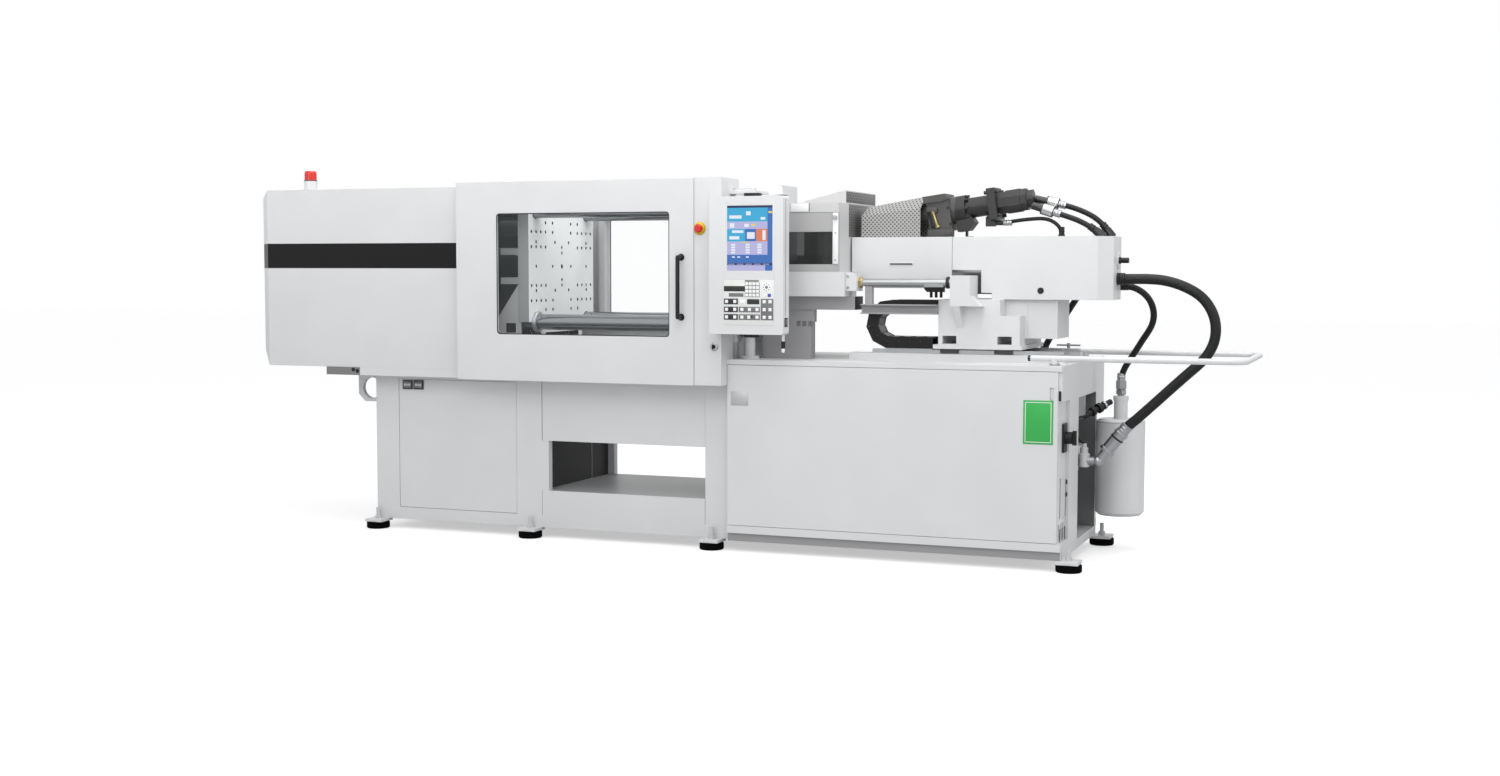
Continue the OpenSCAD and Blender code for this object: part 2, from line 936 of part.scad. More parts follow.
// Two-tier signal lamp on the clamp cover
module signal_lamp() color(red) translate([lamp_x, lamp_y, cover_top]) {
  cylinder(d = lamp_d, h = lamp_stem_h);
  translate([0, 0, lamp_stem_h]) cylinder(d = lamp_lens_d, h = lamp_lens_h - lamp_lens_d / 4);
  translate([0, 0, lamp_stem_h + lamp_lens_h - lamp_lens_d / 4]) rotate_extrude()
    intersection() {
      circle(d = lamp_lens_d);
      square([lamp_lens_d, lamp_lens_d / 4]);
    }
}

// Tapped holes of a platen, seen as (Y, Z) places about the axis
module platen_holes(x0, x1) {
  half = platen_half;
  cols = [for (s = hole_col_shares) s * half];
  rows = [for (s = hole_row_shares) s * half];
  mid = hole_mid_share * half;
  inner = [cols[0], cols[1]];
  outer = [cols[1], cols[2], cols[3], cols[4]];
  spots = concat(
    [for (c = inner) [c, rows[0]]], [for (c = cols) [c, rows[1]]],
    [[cols[3], rows[2]], [mid, rows[2]]], [for (c = outer) [c, rows[3]]]);
  for (p = spots, a = [-1, 1], b = [-1, 1])
    rod_x(x0, x1, a * p[0], axis_z + b * p[1], bolt_hole_d);
  for (z = [rows[3], rows[4]], b = [-1, 1]) rod_x(x0, x1, 0, axis_z + b * z, bolt_hole_d);
  for (c = [cols[0], cols[3]], a = [-1, 1]) rod_x(x0, x1, a * c, axis_z, bolt_hole_d);
}

module each_tie(x0, x1, d) {
  for (y = [-tie_half, tie_half], z = [axis_z - tie_half, axis_z + tie_half]) rod_x(x0, x1, y, z, d);
}

// Square platen on two feet
module platen_block(x0, x1) {
  centred_block(x0, x1, platen_half, axis_z - platen_half, axis_z + platen_half);
  both_sides() block(x0, min(x1, bed_left_x - seam), platen_foot_y, platen_foot_y + platen_foot_w,
    slab_top, axis_z - platen_half);
}

module fixed_platen() color(steel) difference() {
  platen_block(fixed_face_x, fixed_back_x);
  each_tie(fixed_face_x - overrun, fixed_back_x + overrun, tie_d + 2 * fit_gap);
  rod_x(fixed_face_x - overrun, fixed_back_x + overrun, 0, axis_z, nozzle_bore_d);
  platen_holes(fixed_face_x - overrun, fixed_face_x + bolt_hole_depth);
}

// Tail platen with the clamp cylinder
module clamp_cylinder() color(white) difference() {
  union() {
    platen_block(tail_back_x, tail_front_x);
    rod_x(cylinder_back_x, tail_back_x, 0, axis_z, cylinder_d);
    rod_x(tail_front_x, tail_front_x + gland_t, 0, axis_z, gland_d);
  }
  each_tie(tail_back_x - overrun, tail_front_x + overrun, tie_d + 2 * fit_gap);
  rod_x(ram_bore_back_x, tail_front_x + gland_t + overrun, 0, axis_z, ram_d + 2 * fit_gap);
}

// Tie bars with their end nuts
module tie_bars() color(steel) {
  each_tie(tail_back_x - tie_nut_h, fixed_back_x + tie_head_h, tie_d);
  each_tie(tail_back_x - tie_nut_h, tail_back_x, tie_nut_d);
  each_tie(fixed_back_x, fixed_back_x + tie_head_h, tie_nut_d);
}

// Angle tracks that the doors run on, and their upper guides
module door_tracks() color(white) both_sides() {
  inner = door_face - door_t - fit_gap;
  block(track_left_x, door_right_x, slab_half, inner, track_top - track_web, track_top);
  block(track_left_x, door_right_x, inner - track_lip, inner, base_top + seam, track_top);
  block(cover_right_x + seam, column_left_x, inner - 3 * track_lip, inner,
    cover_top - 4 * track_web, cover_top);
  block(cover_right_x - pan_edge, cover_right_x + seam, inner - 3 * track_lip, cover_half - sheet,
    cover_top - 4 * track_web, cover_top - 2 * sheet);
}

// Folded column that carries the controls beside the door
module column_shell() {
  block(column_left_x, column_right_x, slab_half, door_face, column_bottom, slab_top);
  block(column_left_x, column_right_x, door_face - column_depth, door_face, slab_top, column_top);
  block(column_left_x, column_right_x, door_face - column_cap_depth, door_face - column_depth,
    column_top - column_cap_h, column_top);
}

module operator_column() color(white) far_side() difference() {
  union() {
    column_shell();
    rod_y(stop_x, door_face, door_face + stop_collar_t, stop_z, stop_collar_d);
    rod_y(key_x, door_face, door_face + key_t, key_z, key_d);
  }
  rod_y(stop_x, door_face - stop_gap, door_face + stop_collar_t + overrun, stop_z,
    stop_stem_d + 2 * fit_gap);
  rod_y(key_x, door_face - key_t, door_face + key_t + overrun, key_z, key_barrel_d + 2 * fit_gap);
}

module rear_column() color(white) column_shell();

// Twin shot counters on the left base
module shot_counters() color(black) for (i = [0, 1]) {
  x0 = counter_x0 + i * (counter_w + counter_gap);
  block(x0, x0 + counter_w, -base_half - counter_t + recess, -base_half + seam,
    counter_z0, counter_z0 + counter_h);
}

// Post, foot flange, bush and top bracket that carry the control panel
module panel_post() color(steel) {
  rod_z(post_x, post_y, bed_top, post_top, post_d);
  rod_z(post_x, post_y, bed_top, bed_top + post_flange_h, post_flange_d);
  rod_z(post_x, post_y, sleeve_bottom - fit_gap - bush_h, sleeve_bottom - fit_gap, bush_d);
  block(column_right_x, bracket_bend_x, bracket_y0, bracket_y0 + bracket_strap,
    post_top - bracket_t, post_top);
  block(bracket_bend_x, bracket_right_x, bracket_y0, post_y + post_d, post_top - bracket_t, post_top);
}

// Rails on the bed's pads, and the shelf under the drag chain
module slide_rails() color(steel) {
  both_sides() block(slide_left_x, slide_right_x, rail_y - slide_rail_w / 2,
    rail_y + slide_rail_w / 2, pad_top, slide_rail_top);
  block(chain_shelf_x0, chain_low_end_x, chain_y0, chain_y0 + chain_w, slide_rail_top,
    chain_low_z - chain_h / 2);
}

// Fixed nozzle guard: frame round the purge door, plain rear, sloped hood
module nozzle_guard() color(white) {
  back = guard_half - sheet;
  difference() {
    centred_block(guard_left_x, guard_right_x, guard_half, guard_bottom, guard_top);
    centred_block(guard_left_x - overrun, guard_right_x - sheet, guard_half - sheet,
      guard_bottom - overrun, guard_top - sheet);
    block(guard_left_x - overrun, guard_right_x - guard_post_w, -guard_half - overrun, -back + overrun,
      guard_bottom - overrun, guard_band_z);
    rod_x(guard_right_x - sheet - overrun, guard_right_x + overrun, 0, axis_z, barrel_hole_d);
  }
  block(guard_left_x, guard_right_x, -guard_half - guard_band_t, -guard_half, guard_band_z, guard_top);
  side_plate([[hood_left_x, guard_top], [guard_right_x, guard_top],
    [guard_right_x, guard_top + hood_high], [hood_left_x, guard_top + hood_low]],
    -hood_half, hood_half);
}

// Sliding purge door: grey panel with a window frame
module purge_door() color(grey) {
  y1 = -guard_half - fit_gap;
  y0 = y1 - purge_door_t;
  z0 = guard_bottom + fit_gap;
  z1 = guard_band_z - fit_gap;
  difference() {
    block(guard_left_x, guard_right_x, y0, y1, z0, z1);
    block(guard_left_x + purge_edge, guard_right_x - guard_post_w, y0 - overrun, y1 + overrun,
      purge_win_z0, purge_win_z1);
  }
  block(guard_right_x - guard_post_w, guard_right_x, y0 - purge_pane_t, y0, purge_win_z0, z1);
}

// Tinted pane set into the purge door
module purge_window() color([0.2, 0.22, 0.22, 0.7]) block(guard_left_x + purge_edge,
  guard_right_x - guard_post_w, -guard_half - fit_gap - purge_door_t / 2 - purge_pane_t / 2,
  -guard_half - fit_gap - purge_door_t / 2 + purge_pane_t / 2, purge_win_z0, purge_win_z1);

// White purge skirt over the grey lower box, both open behind their right half
module purge_skirt() color(white) difference() {
  union() {
    centred_block(guard_left_x, skirt_right_x, skirt_half, skirt_bottom, guard_bottom);
    centred_block(guard_left_x, lower_right_x, lower_half, lower_bottom, skirt_bottom);
  }
  centred_block(guard_left_x - overrun, skirt_right_x + overrun, barrel_hole_d / 2,
    skirt_bottom + sheet, guard_bottom + overrun);
  centred_block(guard_right_x, skirt_right_x + overrun, beam_half + 2 * seam,
    left_cover_bottom - 2 * seam, guard_bottom + overrun);
  block(skirt_deep_x, lower_right_x + overrun, skirt_front_y, skirt_half + overrun,
    lower_bottom - overrun, guard_bottom + overrun);
}

// Pedestal between the bed and the purge skirt: deep leg, front plate with vent slots
module injection_pedestal() color(grey) difference() {
  union() {
    centred_block(guard_left_x, pedestal_deep_x, pedestal_half, bed_top, lower_bottom);
    block(guard_left_x, pedestal_right_x, -pedestal_half, -pedestal_half + pedestal_front_t,
      bed_top, lower_bottom);
  }
  centred_block(pedestal_right_x - pedestal_step, pedestal_right_x + overrun,
    pedestal_half + overrun, bed_top - overrun, pedestal_step_z);
  for (i = [0:vent_count - 1]) far_side() block(vent_x + i * vent_pitch,
    vent_x + i * vent_pitch + vent_w, pedestal_half - vent_depth, pedestal_half + overrun,
    vent_z, vent_z + vent_h);
}

// Anchor block of the carriage cylinder with its piston rod
module cylinder_anchor() color(white) {
  block(anchor_x0, anchor_x1, anchor_y0, anchor_y1, anchor_z0, anchor_z1);
  rod_x(anchor_x1, anchor_x1 + anchor_nut_l, carriage_cyl_y, carriage_cyl_z, anchor_nut_d);
  rod_x(anchor_x1, rod_end_x, carriage_cyl_y, carriage_cyl_z, rod_d);
}

// Accumulator bottle with its neck and two straps to the bed's end
module accumulator() color(white) {
  r = accumulator_d / 2;
  translate([accumulator_x, accumulator_y, 0]) rotate_extrude() polygon([
    [0, accumulator_z0], [r - accumulator_r, accumulator_z0], [r, accumulator_z0 + accumulator_r],
    [r, accumulator_z1 - accumulator_r], [r - accumulator_r, accumulator_z1], [neck_d / 2, accumulator_z1],
    [neck_d / 2, neck_top - neck_collar_h], [neck_collar_d / 2, neck_top - neck_collar_h],
    [neck_collar_d / 2, neck_top], [0, neck_top]]);
  for (z = [strap_z0, strap_z1]) block(bed_right_x, accumulator_x, bay_end_y1 + seam,
    bay_end_y1 + seam + strap_t, z, z + strap_h);
}

// Round oil tank that hangs in the end bay
module oil_tank() color(grey) {
  rod_z(tank_x, tank_y, tank_z0, bay_end_z1, tank_d);
  rod_z(tank_x, tank_y, tank_band_z, tank_band_z + tank_band_h, tank_d + 2 * tank_band_over);
}

// Oil filter on a leg in the end bay
module filter_unit() color(white) translate([filter_x, filter_y, 0]) {
  w = filter_w / 2;
  difference() {
    block(-w, w, -w, w, filter_z0, filter_z1);
    both_sides() translate([w, w, 0]) rotate([0, 0, 45]) block(-w / 4, w / 4, -w / 4, w / 4,
      filter_z0 - overrun, filter_z1 + overrun);
  }
  rod_z(0, 0, filter_z1, filter_z1 + filter_neck_h, filter_neck_d);
  rod_z(0, 0, filter_z0 - filter_bowl_h, filter_z0, filter_bowl_d);
  block(-w, -w + filter_leg_w, -filter_leg_w / 2, filter_leg_w / 2, bay_end_z0, filter_z0);
}

// Tube rail round the hoses, on bosses
module guard_rail() color(white) {
  right = machine_length / 2 - rail_tube_d / 2;
  rod_x(rail_front_x, right - rail_corner, -rail_half, rail_z, rail_tube_d);
  rod_x(rail_rear_x, right - rail_corner, rail_half, rail_z, rail_tube_d);
  both_sides() {
    rod_z(rail_boss_x, rail_half, bed_top, rail_z, rail_boss_d);
    translate([right - rail_corner, rail_half - rail_corner, rail_z])
      rotate_extrude(angle = 90) translate([rail_corner, 0]) circle(d = rail_tube_d);
  }
  rod_y(right, -rail_half + rail_corner, rail_half - rail_corner, rail_z, rail_tube_d);
}

// Pipe, elbow and sleeve of the main hose, and the gland of the return hose
module hose_fittings() color(steel) {
  tip = main_route[len(main_route) - 1];
  elbow = [main_elbow_x, 0, main_pipe_z];
  run = tip - elbow;
  lean = atan2(run[0], run[2]);
  rod_x(bed_right_x - bay_end_depth, main_elbow_x, 0, main_pipe_z, main_pipe_d);
  translate(elbow) sphere(d = main_elbow_d);
  translate(elbow) rotate([0, lean, 0]) {
    cylinder(d = main_pipe_d, h = norm(run));
    translate([0, 0, norm(run) - sleeve_hose_l]) cylinder(d = sleeve_hose_d, h = sleeve_hose_l);
  }
  rod_z(accumulator_x, accumulator_y, neck_top, return_gland_z, return_hose_d);
  rod_z(accumulator_x, accumulator_y, return_gland_z - return_gland_h, return_gland_z, return_gland_d);
  rod_z(rear_route[8][0], rear_route[8][1], bed_top, rear_route[8][2], rear_gland_d);
}

// Door pan with a window opening
module door_pan(left, bottom) {
  difference() {
    block(door_left_x, door_right_x, door_face - door_t, door_face, door_bottom, door_top);
    block(door_left_x + pan_edge, left - 2 * pan_edge, door_face - door_t - overrun,
      door_face - pan_skin, door_bottom + pan_edge, door_top - pan_edge);
    block(left - 2 * pan_edge - overrun, door_right_x - pan_edge, door_face - door_t - overrun,
      door_face - pan_skin, door_bottom + pan_edge, bottom - 2 * pan_edge);
    block(left - 2 * pan_edge - overrun, door_right_x - pan_edge, door_face - door_t - overrun,
      door_face - pan_skin, window_top + 2 * pan_edge, door_top - pan_edge);
    round_plate(left, window_right_x, door_face - door_t - overrun, door_face + overrun,
      bottom, window_top, pane_r);
    block(left - pane_lap, window_right_x + pane_lap, door_face - door_t - overrun,
      door_face - pan_skin, bottom - pane_lap, window_top + pane_lap);
  }
}

module door_pane(left, bottom) {
  block(left - pane_lap + fit_gap, window_right_x + pane_lap - fit_gap,
    door_face - pan_skin - pane_t, door_face - pan_skin, bottom - pane_lap + fit_gap,
    window_top + pane_lap - fit_gap);
}

module operator_door() color(white) far_side() door_pan(window_left_x, window_bottom);

module operator_window() color([0.85, 0.9, 0.92, 0.3]) far_side()
  door_pane(window_left_x, window_bottom);

// Round bar handle on two legs
module bar_handle() {
  y = door_face + grip_reach;
  rod_z(grip_x, y, grip_z0, grip_z1, grip_d);
  for (z = [grip_z0, grip_z1]) {
    rod_y(grip_x, door_face, y, z, grip_d);
    translate([grip_x, y, z]) sphere(d = grip_d);
  }
}

module operator_handle() color(black) far_side() bar_handle();

module rear_door() color(white) {
  door_pan(rear_window_left_x, rear_window_bottom);
  bar_handle();
}

module rear_window() color([0.85, 0.9, 0.92, 0.3]) door_pane(rear_window_left_x, rear_window_bottom);

// Moving platen: drilled face plate with notched corners, hub, ram, ribs, side bosses, guide shoes
module moving_platen() color(steel) {
  back = moving_face_x - moving_t;
  reach = platen_half * moving_top_share;
  notch_d = tie_d + 6 * fit_gap + 2 * seam;
  difference() {
    centred_block(back, moving_face_x, platen_half, axis_z - reach, axis_z + reach);
    platen_holes(moving_face_x - bolt_hole_depth, moving_face_x + overrun);
    rod_x(moving_face_x - centre_hole_depth, moving_face_x + overrun, 0, axis_z, centre_hole_d);
    each_tie(back - overrun, moving_face_x + overrun, notch_d);
    both_sides() {
      block(back - overrun, moving_face_x + overrun, tie_half - notch_d / 2, platen_half + overrun,
        axis_z + tie_half, axis_z + platen_half);
      block(back - overrun, moving_face_x + overrun, tie_half - notch_d / 2, platen_half + overrun,
        axis_z - platen_half, axis_z - tie_half);
    }
  }
  rod_x(hub_back_x, back, 0, axis_z, hub_d);
  rod_x(ram_back_x, hub_back_x, 0, axis_z, ram_d);
  both_sides() {
    for (b = [-1, 1]) block(hub_back_x, back, rib_y0, platen_half - rib_t, axis_z + b * rib_z - rib_t / 2,
      axis_z + b * rib_z + rib_t / 2);
    difference() {
      rod_x(hub_back_x, back, side_boss_y, axis_z + side_boss_z, side_boss_d);
      rod_x(hub_back_x - overrun, hub_back_x + rib_t, side_boss_y, axis_z + side_boss_z,
        side_boss_hole_d);
    }
    difference() {
      union() {
        block(back - shoe_reach, moving_face_x, shoe_y - shoe_w, shoe_y, slab_top + fit_gap,
          slab_top + shoe_h);
        side_plate([[back, axis_z - reach + gusset_top], [moving_face_x, axis_z - reach + gusset_top],
          [moving_face_x, slab_top + shoe_h], [back - gusset_foot, slab_top + shoe_h]],
          gusset_y - gusset_t, gusset_y);
      }
      block(back - shoe_hole, back, gusset_y - gusset_t - overrun, gusset_y + overrun,
        slab_top + 2 * shoe_h, slab_top + 2 * shoe_h + shoe_hole);
    }
  }
}

// Control panel housing with its arm and swivel sleeve
module control_panel() color(white) {
  x1 = panel_left_x + panel_w;
  z1 = panel_bottom_z + panel_h;
  screen_x = panel_left_x + screen_x_gap;
  screen_top = z1 - screen_z_gap;
  difference() {
    round_plate(panel_left_x, x1, panel_face, panel_back, panel_bottom_z, z1, panel_r);
    block(screen_x, screen_x + screen_w, panel_face - overrun, panel_face + screen_recess,
      screen_top - screen_h, screen_top);
  }
  difference() {
    union() {
      rod_z(post_x, post_y, sleeve_bottom, sleeve_top, sleeve_d);
      block(post_x - arm_w / 2, post_x + arm_w / 2, panel_back, post_y - sleeve_d / 4,
        sleeve_bottom + panel_r, sleeve_top - 2 * panel_r);
    }
    rod_z(post_x, post_y, sleeve_bottom - overrun, sleeve_top + overrun, post_d + 2 * fit_gap);
  }
  rod_z(stylus_x, (panel_face + panel_back) / 2, panel_bottom_z - stylus_h, panel_bottom_z, stylus_d);
}

module panel_screen() color("#2E6FB5") {
  x0 = panel_left_x + screen_x_gap;
  top = panel_bottom_z + panel_h - screen_z_gap;
  block(x0, x0 + screen_w, panel_face + screen_recess - screen_t, panel_face + screen_recess,
    top - screen_h, top);
}

// Raised key field: rows of keys, number pad and round cursor key
module panel_keypad() color(dark) {
  x0 = panel_left_x + key_field_x_gap;
  top = panel_bottom_z + panel_h - screen_z_gap - screen_h - key_field_gap;
  z0 = top - key_field_h;
  y = panel_face - key_field_t;
  block(x0, x0 + key_field_w, y, panel_face, z0, top);
  for (i = [0:key_columns - 1], j = [0:key_rows - 1]) {
    x = x0 + key_low_margin / 2 + i * key_pitch_x;
    z = z0 + key_low_margin + j * key_pitch_z;
    block(x, x + key_size, y - key_cap_t, y, z, z + key_size);
  }
  for (i = [0:pad_count - 1], j = [0:pad_count - 1]) {
    x = x0 + pad_left + i * pad_pitch;
    z = z0 + key_rows * key_pitch_z + key_low_margin / 2 + j * pad_pitch;
    block(x, x + pad_key, y - key_cap_t, y, z, z + pad_key);
  }
  rod_y(x0 + dial_x, y - key_cap_t, y, z0 + dial_z, dial_d);
}

// Mushroom head of the emergency stop
module e_stop_button() color(red) far_side() {
  y = door_face + stop_collar_t + stop_gap;
  rod_y(stop_x, door_face + fit_gap, y, stop_z, stop_stem_d);
  translate([stop_x, y, stop_z]) rotate([-90, 0, 0]) rotate_extrude() polygon([
    [0, 0], [stop_d / 2, 0], [stop_d / 2, stop_h / 2], [stop_d / 3, stop_h], [0, stop_h]]);
}

module key_switch() color(steel) far_side() {
  y = door_face + key_t;
  rod_y(key_x, door_face, y + key_barrel_t, key_z, key_barrel_d);
  block(key_x - key_blade_w / 2, key_x + key_blade_w / 2, y + key_barrel_t,
    y + key_barrel_t + key_blade_t, key_z - key_blade_h, key_z + key_blade_h);
}

// Rotary main switch at the end of the bed
module main_switch_knob() color(black) {
  x = strip_x + switch_plate_t + fit_gap;
  rod_x(x, x + switch_knob_l, switch_y, switch_z, switch_knob_d);
  block(x + switch_knob_l, x + switch_knob_l + switch_bar_t, switch_y - switch_bar_w / 2,
    switch_y + switch_bar_w / 2, switch_z - switch_bar_l / 2, switch_z + switch_bar_l / 2);
}

// T handle on its boss
module t_handle() color(steel) {
  rod_z(t_x, t_y, bed_top + fit_gap, bed_top + t_boss_h, t_boss_d);
  rod_z(t_x, t_y, bed_top + t_boss_h, t_top, t_stem_d);
  rod_x(t_x - t_bar_l / 2, t_x + t_bar_l / 2, t_y, t_top - t_bar_d, t_bar_d);
}

// Saddle: sole plate, body with through pockets, and the horn that the carriage cylinder pulls on
module saddle() color(white) {
  difference() {
    union() {
      centred_block(saddle_left_x, saddle_right_x, saddle_half, saddle_bottom,
        saddle_bottom + saddle_plate_t);
      centred_block(saddle_body_left_x, saddle_body_right_x, saddle_half - seam,
        saddle_bottom + saddle_plate_t, saddle_step_z);
      centred_block(saddle_body_left_x, saddle_step_x, saddle_half - seam, saddle_step_z, beam_bottom);
    }
    for (x = pocket_xs) centred_block(x, x + pocket_w, saddle_half + overrun, pocket_z0,
      pocket_z0 + pocket_h);
  }
  face = -saddle_half + seam;
  block(horn_x0, horn_x1, horn_y, -beam_half - seam, beam_bottom, horn_z1);
  block(horn_x0, horn_x1, horn_y, face, horn_z0, beam_bottom);
  side_plate([[horn_x1, horn_z0], [horn_x1 + horn_gusset, horn_z0], [horn_x1, horn_z0 + horn_gusset]],
    horn_y, face);
  end_plate([[horn_y, horn_z0], [face, horn_z0], [face, horn_z0 - horn_rib_drop]],
    horn_x0 + horn_rib_t / 2, horn_x0 + 3 * horn_rib_t / 2);
}

// Four guide blocks that run on the slide rails
module guide_blocks() color(dark) both_sides() for (x = block_xs) difference() {
  block(x, x + block_l, rail_y - block_w / 2, rail_y + block_w / 2, pad_top + block_low, saddle_bottom);
  block(x - overrun, x + block_l + overrun, rail_y - slide_rail_w / 2 - fit_gap,
    rail_y + slide_rail_w / 2 + fit_gap, pad_top, slide_rail_top + fit_gap);
}

// Side outline of the right beam cover with its stepped notch
right_cover_side = [[beam_seam_x, beam_top], [beam_right_x, beam_top], [beam_right_x, beam_bottom],
  [notch_step_x, beam_bottom], [notch_step_x, notch_step_z], [notch_right_x, notch_step_z],
  [notch_right_x, notch_top], [beam_seam_x, notch_top]];

module right_cover_form(wall) {
  right = beam_right_x - wall;
  half = beam_half - wall;
  intersection() {
    side_plate(right_cover_side, -half, half);
    translate([0, 0, beam_bottom - overrun]) linear_extrude(beam_top - wall - beam_bottom + overrun)
      polygon([[beam_seam_x - overrun, -half], [right - beam_end_bevel, -half],
        [right, -half + beam_end_bevel], [right, half - beam_end_bevel],
        [right - beam_end_bevel, half], [beam_seam_x - overrun, half]]);
  }
}

// Folded covers over the injection unit: left, and right with a bevelled end
module beam_covers() color(white) {
  difference() {
    centred_block(beam_left_x, beam_seam_x - seam, beam_half, left_cover_bottom, beam_top);
    centred_block(beam_left_x + sheet, beam_seam_x, beam_half - sheet, left_cover_bottom - overrun,
      beam_top - sheet);
    rod_x(beam_left_x - overrun, beam_left_x + sheet + overrun, 0, axis_z, barrel_hole_d - 2 * sheet);
    block(slot_x0, slot_x0 + slot_w, -beam_half - overrun, -beam_half + slot_depth,
      slot_z - slot_h / 2, slot_z + slot_h / 2);
  }
  difference() {
    right_cover_form(0);
    translate([0, 0, -overrun]) right_cover_form(sheet);
    translate([-overrun, 0, -sheet]) right_cover_form(sheet);
  }
  rod_x(beam_right_x, beam_right_x + stub_flange_t, stub_y, stub_z, stub_flange_d);
  rod_x(beam_right_x, beam_right_x + stub_l, stub_y, stub_z, stub_d);
  difference() {
    union() {
      rod_between(gland_a_base, motor_a_route[5], motor_hose_d + gland_over);
      rod_between(gland_b_base, motor_b_route[4], motor_hose_d + gland_over);
      rod_between(gland_r_base, rear_route[0], rear_hose_d + gland_over);
    }
    right_cover_form(sheet);
  }
  rod_z(drain_route[8][0], drain_route[8][1], beam_top - sheet, drain_route[8][2], drain_hose_d + gland_over);
}

// Nozzle, heated barrel, head and shot cylinder as one turned run on a foot
module injection_barrel() color(steel) {
  translate([0, 0, axis_z]) rotate([0, 90, 0]) rotate_extrude() polygon([
    [0, nozzle_tip_x], [nozzle_tip_d / 2, nozzle_tip_x], [nozzle_d / 2, nozzle_cone_x],
    [nozzle_d / 2, nozzle_hex_x], [barrel_d / 2, barrel_front_x], [barrel_d / 2, head_x],
    [head_d / 2, head_x], [head_d / 2, shot_x0], [shot_d / 2, shot_x0], [shot_d / 2, shot_x1],
    [0, shot_x1]]);
  for (i = [0:band_count - 1]) rod_x(band_x + i * band_pitch, band_x + i * band_pitch + band_l, 0,
    axis_z, band_d);
  centred_block(notch_step_x + sheet, saddle_step_x, shot_foot_half, beam_bottom, axis_z - shot_d / 4);
}

// Carriage cylinder with its head ring and port block
module carriage_barrel() color(steel) translate([0, carriage_cyl_y, carriage_cyl_z]) {
  difference() {
    union() {
      rod_x(carriage_cyl_x0, horn_x0, 0, 0, carriage_cyl_d);
      rod_x(carriage_head_x, carriage_head_x + carriage_head_l, 0, 0, carriage_head_d);
      side_plate([[port_x0, -port_h + port_corner], [port_x0 + port_corner, -port_h],
        [port_x1, -port_h], [port_x1, 0], [port_x0, 0]], -port_w / 2, port_w / 2);
      for (i = [0:2]) rod_z(port_x1 - port_corner - i * fitting_pitch, 0, -port_h - fitting_h, -port_h,
        fitting_d);
    }
    rod_x(carriage_cyl_x0 + carriage_head_l, carriage_head_x, 0, 0, carriage_cyl_bore);
    rod_x(carriage_cyl_x0 - overrun, carriage_head_x, 0, 0, rod_d + 2 * fit_gap);
  }
}

// Channel that guides the drag chain, on its hanger
module chain_tray() color(grey) {
  front = tray_web_y - tray_flange;
  block(chain_tray_left_x, saddle_body_left_x, tray_web_y, tray_web_y + tray_web_t,
    chain_tray_z0, chain_tray_z1);
  for (z = [chain_tray_z0, chain_tray_z1 - tray_web_t]) block(chain_tray_left_x, saddle_body_left_x,
    front, tray_web_y, z, z + tray_web_t);
  difference() {
    block(hanger_x0, hanger_x0 + hanger_w, front, tray_web_y, chain_tray_z1, carriage_cyl_z);
    rod_x(hanger_x0 - overrun, hanger_x0 + hanger_w + overrun, carriage_cyl_y, carriage_cyl_z,
      carriage_cyl_d);
  }
  block(saddle_body_left_x - tray_flange, saddle_body_left_x, tray_web_y + tray_web_t,
    chain_y0 - seam, chain_tray_z0, chain_tray_z1);
}

// Perforated guard over the plasticizing barrel, a thin roof with sloped sides
module guard_end(h_low, h_ridge, t) {
  polygon([[-guard_y + t, 0], [-guard_y + t, h_low - t], [-t / 2, h_ridge - t], [t / 2, h_ridge - t],
    [guard_y - t, h_low - t], [guard_y - t, 0]]);
}

module guard_loft(t) {
  hull() {
    translate([barrel_guard_x0, 0, barrel_guard_z]) rotate([90, 0, 90])
      linear_extrude(overrun) guard_end(mesh_low_h0, mesh_ridge_h0, t);
    translate([barrel_guard_x1 - overrun, 0, barrel_guard_z]) rotate([90, 0, 90])
      linear_extrude(overrun) guard_end(mesh_low_h1, mesh_ridge_h1, t);
  }
}

module barrel_guard() color(grey) difference() {
  guard_loft(mesh_t / 2);
  translate([overrun, 0, -mesh_t]) guard_loft(2 * mesh_t);
  translate([-mesh_t, 0, -mesh_t]) guard_loft(2 * mesh_t);
}

// Places its children on the tilted screw axis
module on_screw() {
  translate([screw_pivot_x, 0, screw_pivot_z]) rotate([0, -screw_tilt, 0]) children();
}

// Bolt heads on the bearing ring and on both faces of the motor flange
module drive_bolts(ring_x) {
  for (i = [0:ring_bolts - 1]) rod_x(ring_x, ring_x + ring_bolt_l,
    ring_bolt_r * cos(360 * i / ring_bolts), ring_bolt_r * sin(360 * i / ring_bolts), ring_bolt_d);
  for (y = [-flange_bolt_at, flange_bolt_at], z = [-flange_bolt_at, flange_bolt_at])
    rod_x(screw_flange_x - flange_bolt_l, screw_flange_x + screw_flange_l + flange_bolt_l, y, z,
      flange_bolt_d);
}

